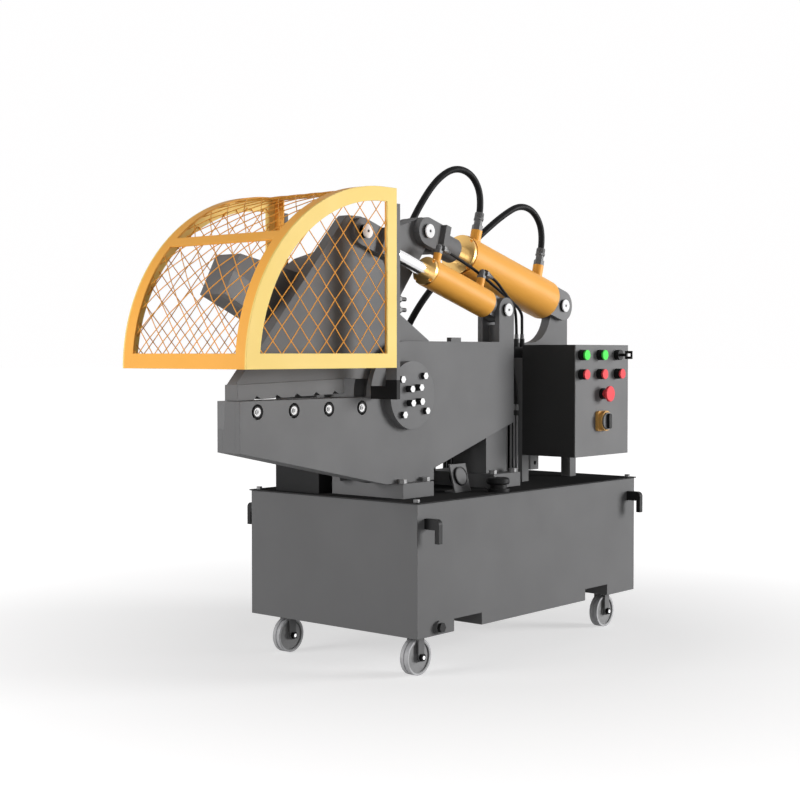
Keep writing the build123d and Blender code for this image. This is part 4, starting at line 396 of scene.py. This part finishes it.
# Flange bolts above a height: faces turned away from the near side are painted black, as painted shade on the
# sides away from the lamp.
flange_bolt_shaded_flanks = both(beyond(UP, FLANGE_BOLT_LOW), turned_from_near)
# Rear pins are painted black where they stand out on the near side: painted shade on their flanks.
rear_pin_shaded_flanks = both(beyond(NEAR, -REAR_PIN_BLACK_Y), beyond(UP, REAR_PIN_LOW))

grey_paint = paint("grey_paint", GREY)
# Lighter copies of the tank's grey for the frame plates, the panel and the pivot flange: painted light, for
# the brighter light on these upper parts.
lit_plate_paint = paint("lit_plate_paint", tint(GREY, 1.10), mottle=0.06)
lit_panel_paint = paint("lit_panel_paint", tint(GREY, 1.25))
lit_flange_paint = paint("lit_flange_paint", tint(GREY, 1.2))
# The lid's deck is a darker copy of the grey paint: painted shade, for the shade that lies on the deck.
deck_shade_paint = paint("deck_shade_paint", tint(GREY, 0.36), rough=0.7, specular=0.0)
# The guard's side sheets take a paler yellow than the bent bands: painted light, standing in for the lamp's
# sheen on the side sheets.
orange_paint = paint("orange_paint", ORANGE, rough=0.5, mottle=0.03, wear=1.1, worn=0.35, bands=(
    (beyond(NEAR, -NEAR_Y - SHEET - SHEET_PAINT_LAP), LIT_SHEET_YELLOW),
    (beyond(FAR, FAR_Y - SHEET - SHEET_PAINT_LAP), LIT_SHEET_YELLOW)))
main_paint = barrel_finish("main_barrel_paint", MAIN_TURN, MAIN_REAR, MAIN_LUG_END, MAIN_GLAND_START)
clamp_paint = barrel_finish("clamp_barrel_paint", CLAMP_TURN, CLAMP_REAR, CLAMP_LUG_END, CLAMP_GLAND_START)
wire_paint = paint("wire_paint", (0.90, 0.40, 0.065), rough=0.55, mottle=0.08, worn=0.0, radius=0.0004)
box_paint = paint("box_paint", (0.044, 0.044, 0.0445), rough=0.6, mottle=0.1, wear=2.0, specular=0.1)
black_paint = paint("black_paint", BLACK, rough=0.45, wear=2.0, worn=0.35, specular=0.15)
motor_paint = paint("motor_paint", (0.014, 0.0145, 0.015), rough=0.5, wear=1.8, specular=0.15)
zinc = metal("zinc_plate", (0.74, 0.74, 0.75), rough=0.45, scale=160.0, bands=(
    (axle_flanks, BLACK), (rear_pin_shaded_flanks, BLACK)))
# Bolts: white zinc, with painted shade in black on the flange bolts' flanks, black above the guard's height
# and duller zinc below the flange's.
bolt_zinc = paint("bolt_zinc", WHITE_ZINC, rough=0.35, worn=0.0, specular=0.3, bands=(
    (flange_bolt_shaded_flanks, BLACK), (beyond(UP, GUARD_BOLT_LOW), BLACK),
    (beyond(DOWN, -FLANGE_BOLT_LOW), DULL_ZINC)))
# Guard supports: the lighter plate grey, and painted black below a height as painted shade under the guard.
support_paint = paint("support_paint", tint(GREY, 1.10), mottle=0.06,
                      bands=((beyond(DOWN, -SUPPORT_SHADE_TOP), BLACK),))
# Blade screws: white heads in a black ring, and in each socket a dark disc half covered by a pale one, which
# leaves a painted shade crescent on the socket's front side.
screw_zinc = paint("screw_zinc", WHITE_ZINC, rough=0.5, worn=0.0, bands=(
    (round_row(SCREW_X, SCREW_R), BLACK),
    (round_row(SCREW_X + SOCKET_SHADE_SHIFT, SOCKET_R, True), BLACK),
    (round_row(SCREW_X + SOCKET_PALE_SHIFT, SOCKET_R, True), WHITE_ZINC)))
pin_white = paint("pin_white", (0.88, 0.88, 0.885), rough=0.5, worn=0.0)
blade_steel = paint("blade_steel", tint(GREY, 1.12), rough=0.5, mottle=0.08, peel=0.05, wear=1.6,
                    specular=0.2)
fitting_steel = paint("fitting_steel", (0.12, 0.12, 0.122), rough=0.4, wear=2.0, specular=0.3)
main_chrome = rod_chrome("main_rod_chrome", MAIN_PIN_BLACK_Y)
clamp_chrome = rod_chrome("clamp_rod_chrome", CLAMP_PIN_BLACK_Y)
pipe_steel = paint("pipe_steel", (0.36, 0.36, 0.364), rough=0.4, worn=0.0, specular=0.2, bands=(
    (beyond(UP, PIPE_NUT - DARK_L, PIPE_NUT), BLACK), (beyond(UP, PIPE_NUT + NUT_L), BLACK)))
pump_iron = paint("pump_iron", (0.04, 0.04, 0.041), rough=0.65, peel=0.35)
valve_paint = paint("valve_paint", (0.022, 0.022, 0.023), rough=0.55, specular=0.12)
black_plastic = plastic("black_plastic", (0.010, 0.010, 0.0105), 0.12)
green_plastic = plastic("green_plastic", (0.09, 0.92, 0.11), 0.1)
red_plastic = plastic("red_plastic", (0.90, 0.085, 0.10), 0.1)
rotary_plate = paint("rotary_plate", (0.62, 0.34, 0.09), rough=0.45, wear=1.5, specular=0.2)
rotary_grey = plastic("rotary_grey", (0.16, 0.16, 0.165), 0.12, ((beyond(NEAR, -ROTARY_BAR_Y), BLACK),))
hose_rubber = rubber_hose("hose_rubber")

FINISHES = (
    (grey_paint, ("tank_shell",)),
    (deck_shade_paint, ("tank_lid",)),
    (lit_plate_paint, ("caster_forks", "near_side_plate", "inner_side_plate", "far_side_plate", "cylinder_post",
                   "frame_fillers", "foot_blocks", "box_posts", "gauge_bracket", "upper_jaw", "clamp_arm",
                   "clamp_clevis", "main_clevis")),
    (lit_flange_paint, ("pivot_flange",)),
    (lit_panel_paint, ("control_panel",)),
    (box_paint, ("control_box",)),
    (support_paint, ("guard_supports",)),
    (orange_paint, ("guard_frame",)),
    (main_paint, ("main_barrel",)),
    (clamp_paint, ("clamp_barrel",)),
    (main_chrome, ("main_rod",)),
    (clamp_chrome, ("clamp_rod",)),
    (fitting_steel, ("main_fittings", "clamp_fittings")),
    (blade_steel, ("lower_blade", "upper_blade")),
    (screw_zinc, ("lower_blade_bolts",)),
    (bolt_zinc, ("frame_bolts",)),
    (zinc, ("pins_and_axles",)),
    (black_paint, ("lifting_hooks", "drain_plug", "pressure_gauge")),
    (motor_paint, ("motor",)),
    (pump_iron, ("pump",)),
    (valve_paint, ("manifold",)),
    (black_plastic, ("solenoid_valves", "button_bezels", "key_switch", "filler_neck", "filler_cap")),
    (green_plastic, ("green_button_1", "green_button_2")),
    (red_plastic, ("red_button_1", "red_button_2", "red_button_3", "estop_button")),
    (rotary_plate, ("rotary_base",)),
    (rotary_grey, ("rotary_handle",)),
    (wheel_material("wheel_front", -WHEEL_X), ("wheel_front_near", "wheel_front_far")),
    (wheel_material("wheel_rear", WHEEL_X), ("wheel_rear_near", "wheel_rear_far")),
)
for finish, names in FINISHES:
    for name in names:
        data = nodes[name].data
        if not data.materials:
            data.materials.append(finish)
        for index in range(len(data.materials)):
            data.materials[index] = finish


# Mesh pieces

LINE_ORDER, LINE_STEPS = 3, 10


def piece(name, bm, finish, body, smooth=False):
    """An object from a mesh, riding on a body where one is given."""
    mesh = bpy.data.meshes.new(name)
    bmesh.ops.recalc_face_normals(bm, faces=bm.faces)
    bm.to_mesh(mesh)
    bm.free()
    mesh.materials.append(finish)
    for polygon in mesh.polygons:
        polygon.use_smooth = smooth
    obj = bpy.data.objects.new(name, mesh)
    bpy.context.scene.collection.objects.link(obj)
    if body:
        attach(obj, body)
    return obj


def circle_point(middle, side, up, turn, radius):
    return middle + (side * math.cos(turn) + up * math.sin(turn)) * radius


def ring_frame(line):
    """Place, side and up at each point of a line, turned as little as possible."""
    frames = []
    side = None
    for i, here in enumerate(line):
        tangent = (line[min(i + 1, len(line) - 1)] - line[max(i - 1, 0)]).normalized()
        if side is None:
            side = tangent.orthogonal().normalized()
        else:
            side = (side - tangent * side.dot(tangent)).normalized()
        frames.append((here, side, tangent.cross(side)))
    return frames


def cap_ends(bm, rings):
    bm.faces.new(list(reversed(rings[0])))
    bm.faces.new(rings[-1])


def tube(bm, line, radius, sides):
    """A closed tube along a line, with UV once round it, and along it one unit in four radii."""
    uv = bm.loops.layers.uv.verify()
    rings, along = [], [0.0]
    for before, after in zip(line, line[1:]):
        along.append(along[-1] + (after - before).length)
    for here, side, up in ring_frame(line):
        rings.append([bm.verts.new(circle_point(here, side, up, 2 * math.pi * k / sides, radius))
                      for k in range(sides)])
    for i, (ring, following) in enumerate(zip(rings, rings[1:])):
        for k in range(sides):
            j = (k + 1) % sides
            face = bm.faces.new((ring[k], ring[j], following[j], following[k]))
            face.smooth = True
            places = ((k, i), (k + 1, i), (k + 1, i + 1), (k, i + 1))
            for loop, (round_at, along_at) in zip(face.loops, places):
                loop[uv].uv = (round_at / sides, along[along_at] / (4 * radius))
    cap_ends(bm, rings)


def lathe(bm, base, axis, profile, sides, flats=()):
    """A turned piece. profile holds rows of (distance along the axis, radius), and flats the numbers of the
    rows that are cut to a hexagon."""
    axis = axis.normalized()
    side = axis.orthogonal().normalized()
    up = axis.cross(side)
    flat_turn = math.pi / 3
    rings = []
    for row, (along, radius) in enumerate(profile):
        ring = []
        for k in range(sides):
            turn = 2 * math.pi * k / sides
            reach = radius
            if row in flats:
                reach = radius * math.cos(flat_turn / 2) / math.cos((turn % flat_turn) - flat_turn / 2)
            ring.append(bm.verts.new(circle_point(base + axis * along, side, up, turn, reach)))
        rings.append(ring)
    for ring, following in zip(rings, rings[1:]):
        for k in range(sides):
            j = (k + 1) % sides
            bm.faces.new((ring[k], ring[j], following[j], following[k]))
    cap_ends(bm, rings)


def smooth_line(points):
    """A smooth line in metres, with points in millimetres as its control points."""
    curve = bpy.data.curves.new("route", "CURVE")
    curve.dimensions = "3D"
    spline = curve.splines.new("NURBS")
    spline.points.add(len(points) - 1)
    for point, place in zip(spline.points, points):
        point.co = (*(c * MM for c in place), 1.0)
    spline.order_u = LINE_ORDER
    spline.use_endpoint_u = True
    spline.resolution_u = LINE_STEPS
    holder = bpy.data.objects.new("route", curve)
    mesh = bpy.data.meshes.new_from_object(holder)
    line = [vertex.co.copy() for vertex in mesh.vertices]
    bpy.data.objects.remove(holder)
    bpy.data.curves.remove(curve)
    bpy.data.meshes.remove(mesh)
    return line


def scaled(profile, across=MM):
    """A profile brought to metres. Its radii may be shares of a radius, given as across."""
    return [(distance * MM, radius * across) for distance, radius in profile]


# Hoses: the routes of the solids, as smooth lines with a crimped collar at each end

THICK_R, THIN_R = 9, 4
HOSE_SIDES = {THICK_R: 20, THIN_R: 14}
COLLAR_L = {THICK_R: 20.0, THIN_R: 13.0}
COLLAR_SIDES, COLLAR_RIBS, HEXAGON_ROWS = 30, 5, (1, 2)
MAIN_PORT_UP = (115, 175)
CLAMP_PORT_UP, CLAMP_PORT_BACK = 75, (30, 60)


def cylinder_place(pin, turn, along, up):
    """A point by a cylinder, from its rear pin: along its axis towards the rod, and up from the axis."""
    return (pin.x - along * math.cos(turn) + up * math.sin(turn), pin.y,
            pin.z + along * math.sin(turn) + up * math.cos(turn))


def main_port(along):
    """The first two points of a hose that leaves the main cylinder upwards."""
    return [cylinder_place(MAIN_REAR, MAIN_TURN, along, up) for up in MAIN_PORT_UP]


def clamp_port(along):
    """The first two points of a hose that leaves the clamp cylinder's elbow backwards."""
    return [cylinder_place(CLAMP_REAR, CLAMP_TURN, along - back, CLAMP_PORT_UP) for back in CLAMP_PORT_BACK]


ROUTES = {
    "hose_main_front": (THICK_R, 0.990, "main_cylinder", [
        *main_port(408), (24, -52, 1242), (-40, -42, 1258), (-97, -24, 1222), (-142, -2, 1150),
        (-182, 20, 1058), (-220, 40, 955), (-246, 56, 848), (-257, 68, 743), (-256, 78, 649), (-252, 85, 584),
        (-252, 85, 530)]),
    "hose_main_rear": (THICK_R, 1.030, "main_cylinder", [
        *main_port(110), (312, -53, 1163), (249, -45, 1181), (187, -30, 1148), (117, -8, 1092),
        (41, 12, 1028), (-37, 26, 957), (-107, 40, 879), (-154, 54, 791), (-174, 68, 698), (-177, 85, 608),
        (-177, 85, 530)]),
    "hose_clamp_front": (THIN_R, 0.489, "clamp_cylinder", [
        *clamp_port(275), (-34, -110, 981), (110, -100, 919), (194, -90, 883), (204, -83.5, 847),
        (204, -83.5, 807)]),
    "hose_clamp_rear": (THIN_R, 0.276, "clamp_cylinder", [
        *clamp_port(87), (75, -118, 928), (148, -100, 894), (178, -83.5, 847), (178, -83.5, 807)]),
}


def ferrule_profile(radius, length):
    """Crimped collar over the hose end: a hexagon at the fitting, then a ribbed sleeve."""
    foot_bore, hexagon, neck, mouth, mouth_bore = (radius * share for share in (0.9, 1.62, 1.3, 1.34, 0.98))
    crest, root = radius * 1.38, radius * 1.27
    hexagon_l, ribs_start, rib_l = length * 0.24, length * 0.28, length * 0.66 / COLLAR_RIBS
    crest_end, root_start, root_end = rib_l * 0.62, rib_l * 0.72, rib_l * 0.92
    rows = [(0.0, foot_bore), (0.0, hexagon), (hexagon_l, hexagon), (hexagon_l, neck)]
    for rib in range(COLLAR_RIBS):
        start = ribs_start + rib_l * rib
        rows += [(start, crest), (start + crest_end, crest), (start + root_start, root),
                 (start + root_end, root)]
    return rows + [(length, mouth), (length, mouth_bore)]


for name, (radius, length, mover, points) in ROUTES.items():
    line = smooth_line(points)
    bm = bmesh.new()
    tube(bm, line, radius * MM, HOSE_SIDES[radius])
    hose = piece(name + "_skin", bm, hose_rubber, None, True)
    for label, start, ahead, body in (("top", line[0], line[1], mover), ("foot", line[-1], line[-2], "base")):
        bm = bmesh.new()
        profile = scaled(ferrule_profile(radius, COLLAR_L[radius]))
        lathe(bm, start, ahead - start, profile, COLLAR_SIDES, HEXAGON_ROWS)
        piece(f"{name}_collar_{label}", bm, fitting_steel, body)
    tuple(line[-1])
    tuple(line[0])
    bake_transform(hose)
    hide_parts(name)
    tuple(line[0])
    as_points(line)


# Guard nets: woven round wires in place of the flat ones

NET_W, NET_H, WIRE_R, WIRE_SIDES, LAP = 55.0, 60.0, 1.15, 6, 10.0
NET_GAP, WEAVE_SHARE = 1.5, 0.5
INSET = SHEET + NET_GAP
NET_FIRST, NET_LAST, NET_STEP, CELL_STEPS = -45, 60, 2, 8
SIDE_GROW, LEAST_POINTS = LAP - 1, 4


def inside_arch(x, z, grow):
    """Whether a point is in the side window, widened by grow."""
    if z < GUARD_Z + BAND - grow or z > GUARD_TOP - BAND + grow or x > REAR_X - BAND + grow:
        return False
    if x >= ARCH_X:
        return True
    reach_x = ARCH_X - FRONT_X - ARCH + grow
    reach_z = GUARD_TOP - GUARD_Z - BAND + grow
    return ((ARCH_X - x) / reach_x) ** 2 + ((z - GUARD_Z) / reach_z) ** 2 < 1.0


def runs(points, keep):
    """The unbroken stretches of points that pass a test."""
    stretch = []
    for point in points:
        if keep(point):
            stretch.append(point)
        elif stretch:
            yield stretch
            stretch = []
    if stretch:
        yield stretch


def weave_offset(family, diagonal, crossing):
    """Over and under at each crossing."""
    return (1 if family else -1) * math.cos(math.pi * (diagonal + crossing) / 2) * WEAVE_SHARE * WIRE_R


def net_lines():
    """Both families of diagonals in net units: u across, v up, with the weave's rise."""
    for family in (0, 1):
        for diagonal in range(NET_FIRST, NET_LAST, NET_STEP):
            line = []
            for step in range(NET_FIRST * CELL_STEPS, NET_LAST * CELL_STEPS + 1):
                crossing = step / CELL_STEPS
                v = (diagonal - crossing) / 2 if family == 0 else (crossing - diagonal) / 2
                line.append(((diagonal + crossing) / 2, v, weave_offset(family, diagonal, crossing)))
            yield line


def add_wire(bm, stretch):
    if len(stretch) >= LEAST_POINTS:
        tube(bm, [Vector(p) * MM for p in stretch], WIRE_R * MM, WIRE_SIDES)


def in_side_window(point):
    return inside_arch(point[0], point[2], SIDE_GROW)


bm = bmesh.new()
for y in (NEAR_Y + INSET, FAR_Y - INSET):
    for line in net_lines():
        points = [(FRONT_X + u * NET_W / 2, y + rise, GUARD_Z + v * NET_H / 2) for u, v, rise in line]
        for stretch in runs(points, in_side_window):
            add_wire(bm, stretch)
side_net = piece("guard_side_net", bm, wire_paint, "base", True)
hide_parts("guard_side_mesh")

BEND_X, BEND_Z = ARCH_X - FRONT_X - INSET, GUARD_TOP - GUARD_Z - INSET
ROWS = 2 * round(math.pi / 2 * (BEND_X + BEND_Z) / 2 / NET_H)
FLAT_ROWS = 4
NET_NEAR, NET_FAR = NEAR_Y + BAND - LAP, FAR_Y - BAND + LAP


def bent(u, v, rise):
    """A net point carried round the arch. u counts half diamonds across, v up the arch from its foot."""
    y = NET_NEAR + u * NET_W / 2
    if v > ROWS:
        return ARCH_X + (v - ROWS) * NET_H / 2, y, GUARD_Z + BEND_Z + rise
    angle = v / ROWS * math.pi / 2
    return (ARCH_X - (BEND_X + rise) * math.cos(angle), y, GUARD_Z + (BEND_Z + rise) * math.sin(angle))


def in_front_window(point):
    x, y, z = point
    return NET_NEAR < y < NET_FAR and z > GUARD_Z + BAND - LAP and x < REAR_X - BAND + LAP


bm = bmesh.new()
for line in net_lines():
    points = [bent(u, v, rise) for u, v, rise in line if 0 <= v <= ROWS + FLAT_ROWS]
    for stretch in runs(points, in_front_window):
        add_wire(bm, stretch)
front_net = piece("guard_front_net", bm, wire_paint, "base", True)
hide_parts("guard_front_mesh")


# Thin pipes from the lid to the clamp's valve block, each with a nut at its foot and one on its way up

BLOCK_FACE = 151.0
PIPE_RUNS = ((-122.5, -91.0, 770.0), (-112.5, -91.0, 742.0), (-101.5, -76.0, 770.0), (-88.0, -76.0, 742.0))
PIPE_SIDES, NUT_SIDES = 14, 24
NUT = [(0.0, 2.4), (0.0, 4.3), (12.0, 4.3), (12.0, 3.4), (NUT_L, 3.4), (NUT_L, 2.4)]

for number, (y, port_y, port_z) in enumerate(PIPE_RUNS, 1):
    bm = bmesh.new()
    route = [(PIPE_X, y, PIPE_FOOT), (PIPE_X, y, (PIPE_FOOT + PIPE_BEND) / 2), (PIPE_X, y, PIPE_BEND),
             (PIPE_X, port_y, port_z), (BLOCK_FACE, port_y, port_z)]
    tube(bm, smooth_line(route), PIPE_R * MM, PIPE_SIDES)
    for z in (PIPE_FOOT, PIPE_NUT):
        lathe(bm, Vector((PIPE_X, y, z)) * MM, Vector(UP), scaled(NUT), NUT_SIDES, HEXAGON_ROWS)
    piece(f"feed_pipe_{number}", bm, pipe_steel, "base")


# Pin ends: bright turned caps with a small dark centre, as rows of (millimetres, share of the radius)

CAP_SINK, CAP_SIDES = 2.0, 40
CAP = [(0.0, 1.05), (2.6, 1.05), (3.4, 0.99), (3.4, 0.24), (2.4, 0.20)]
CENTRE_SINK, CENTRE_SIDES = 0.5, 18
CENTRE = [(0.0, 0.19), (1.1, 0.19), (1.5, 0.14)]


def pin_cap(name, pin, near_y, radius, body):
    """A cap over a pin's near end, which lies at near_y."""
    base = Vector((pin.x, near_y, pin.z)) * MM
    axis = Vector(NEAR)
    bm = bmesh.new()
    lathe(bm, base - axis * CAP_SINK * MM, axis, scaled(CAP, across=radius * MM), CAP_SIDES)
    piece(name, bm, pin_white, body)
    bm = bmesh.new()
    lathe(bm, base - axis * CENTRE_SINK * MM, axis, scaled(CENTRE, across=radius * MM), CENTRE_SIDES)
    piece(name + "_centre", bm, black_paint, body)


for name, pin, near_y, radius, body in (
        ("clamp_fork_cap", CLAMP_FRONT, -172.5, 16.0, "clamp_ram"),
        ("main_clevis_cap", MAIN_FRONT, -101.5, 17.0, "main_ram"),
        ("clamp_rear_cap", CLAMP_REAR, -172.0, 16.0, "base"),
        ("main_rear_cap", MAIN_REAR, -93.0, 17.0, "base")):
    pin_cap(name, pin, near_y, radius, body)


# Gauge face: a blank disc in its black rim

GAUGE_TILT = math.radians(15)
GAUGE_FOOT, GAUGE_RISE, GAUGE_STAND = Vector((-190.0, -185.0, 420.0)), 40.0, 2.9
DIAL = [(0.0, 20.6), (1.6, 20.6), (2.2, 19.8), (2.4, 12.0)]
DIAL_SIDES = 48
gauge_up = Vector((0, math.sin(GAUGE_TILT), math.cos(GAUGE_TILT)))
gauge_out = Vector((0, -math.cos(GAUGE_TILT), math.sin(GAUGE_TILT)))
gauge_back = (GAUGE_FOOT + gauge_up * GAUGE_RISE + gauge_out * GAUGE_STAND) * MM
bm = bmesh.new()
lathe(bm, gauge_back, gauge_out, scaled(DIAL), DIAL_SIDES)
piece("gauge_dial", bm, lit_plate_paint, "base")


# Motor cowl grille: rings and spokes

MOTOR_TOP = Vector((262.0, 100.0, 700.0))
RINGS, FIRST_RING_R, RING_STEP, RING_WIRE_R, RING_SINK, RING_PARTS = 5, 22.0, 13.0, 1.6, 0.4, 48
SPOKES, SPOKE_AT, SPOKE_WIRE_R, SPOKE_SINK = 8, (10.0, 30.0, 55.0, 80.0), 1.8, 0.6
GRILLE_SIDES = 8


def around_motor(radius, turn, sink):
    return (MOTOR_TOP + Vector((radius * math.cos(turn), radius * math.sin(turn), -sink))) * MM


bm = bmesh.new()
for ring in range(RINGS):
    ring_r = FIRST_RING_R + RING_STEP * ring
    turns = [2 * math.pi * k / RING_PARTS for k in range(RING_PARTS + 1)]
    tube(bm, [around_motor(ring_r, turn, RING_SINK) for turn in turns], RING_WIRE_R * MM, GRILLE_SIDES)
for spoke in range(SPOKES):
    spoke_turn = 2 * math.pi * spoke / SPOKES
    tube(bm, [around_motor(r, spoke_turn, SPOKE_SINK) for r in SPOKE_AT], SPOKE_WIRE_R * MM, GRILLE_SIDES)
grille = piece("motor_grille", bm, black_paint, "base", True)


# Stage: floor, world, lights and camera, in metres

FLOOR_SIZE = 60.0
FLOOR_GREY = (0.52, 0.52, 0.52, 1.0)
# The floor's lift to white is lower near the middle, as painted shade round the object, and reaches full lift
# at the outer distance
SHADED_NEAR_GLOW, GLOW_START, GLOW_END = 0.58, 0.6, 2.4
STUDIO_WHITE = (1.0, 0.995, 0.997, 1.0)
AMBIENT = 0.055
LAMPS = (
    ("right_front", (5.2, -6.2, 1.6), (0.0, 0.0, 0.6), 3.2, 1.06),
    ("left_back", (-4.8, 1.8, 1.3), (-0.4, 0.0, 0.6), 2.4, 0.66),
    ("left_front", (-4.2, -3.6, 1.6), (-0.2, 0.0, 0.6), 3.0, 0.15),
    ("overhead", (0.0, 0.0, 5.0), (0.0, 0.0, 0.3), 4.5, 0.04),
)
CAMERA_LENS, SENSOR = 65.667, 36.0
CAMERA_PLACE, CAMERA_DIP, CAMERA_HEADING = (-3.0800, -2.4211, 0.7671), 1.827, -49.782


def seen_directly(tree):
    """1 for what the camera sees, also by reflection or through glass, and 0 for light on other surfaces."""
    path = add(tree, "LightPath")
    bent_rays = math_node(tree, "MAXIMUM", path.outputs["Is Glossy Ray"], path.outputs["Is Transmission Ray"])
    return math_node(tree, "MAXIMUM", path.outputs["Is Camera Ray"], bent_rays)


def stage_material(name):
    """White floor that keeps the object's shadow: a pale diffuse base, lifted to white for the camera, less
    so near the middle, which paints shade on the floor round the object.
    """
    mat, tree, bsdf = new_material(name)
    tree.nodes.remove(bsdf)
    place = add(tree, "NewGeometry").outputs["Position"]
    far = vector_math(tree, "LENGTH", "Value", place)
    level = spread(tree, far, SHADED_NEAR_GLOW, 1.0, GLOW_START, GLOW_END)
    glow = math_node(tree, "MULTIPLY", level, seen_directly(tree))
    diffuse = add(tree, "BsdfDiffuse", Color=FLOOR_GREY).outputs[0]
    lift = add(tree, "Emission", Color=STUDIO_WHITE, Strength=glow).outputs[0]
    surface = add(tree, "AddShader", i0=diffuse, i1=lift).outputs[0]
    tree.links.new(surface, tree.nodes["Material Output"].inputs["Surface"])
    return mat


bm = bmesh.new()
bmesh.ops.create_grid(bm, x_segments=1, y_segments=1, size=FLOOR_SIZE)
floor_mesh = bpy.data.meshes.new("floor")
bm.to_mesh(floor_mesh)
bm.free()
floor_mesh.materials.append(stage_material("floor"))
floor = bpy.data.objects.new("floor", floor_mesh)
bpy.context.scene.collection.objects.link(floor)

scene = bpy.context.scene
scene.view_settings.view_transform = "Standard"
world = bpy.data.worlds.new("studio")
scene.world = world
world.use_nodes = True
tree = world.node_tree
background = tree.nodes["Background"]
strength = spread(tree, seen_directly(tree), AMBIENT, 1.0, 0.0, 1.0)
tree.links.new(strength, background.inputs["Strength"])
background.inputs["Color"].default_value = STUDIO_WHITE


def softbox(name, place, aim, size, level):
    """A square lamp. level is what it adds to a white card that faces it at the aim."""
    lamp = bpy.data.lights.new(name, "AREA")
    lamp.shape = "SQUARE"
    lamp.size = size
    place, aim = Vector(place), Vector(aim)
    lamp.energy = level * math.pi ** 2 * (place - aim).length_squared
    obj = bpy.data.objects.new(name, lamp)
    obj.location = place
    obj.rotation_euler = (aim - place).to_track_quat("-Z", "Y").to_euler()
    scene.collection.objects.link(obj)


for lamp_values in LAMPS:
    softbox(*lamp_values)

camera = bpy.data.cameras.new("camera")
camera.lens = CAMERA_LENS
camera.sensor_width = SENSOR
view = bpy.data.objects.new("camera", camera)
view.location = CAMERA_PLACE
view.rotation_euler = (math.radians(90 - CAMERA_DIP), 0.0, math.radians(CAMERA_HEADING))
scene.collection.objects.link(view)
scene.camera = view
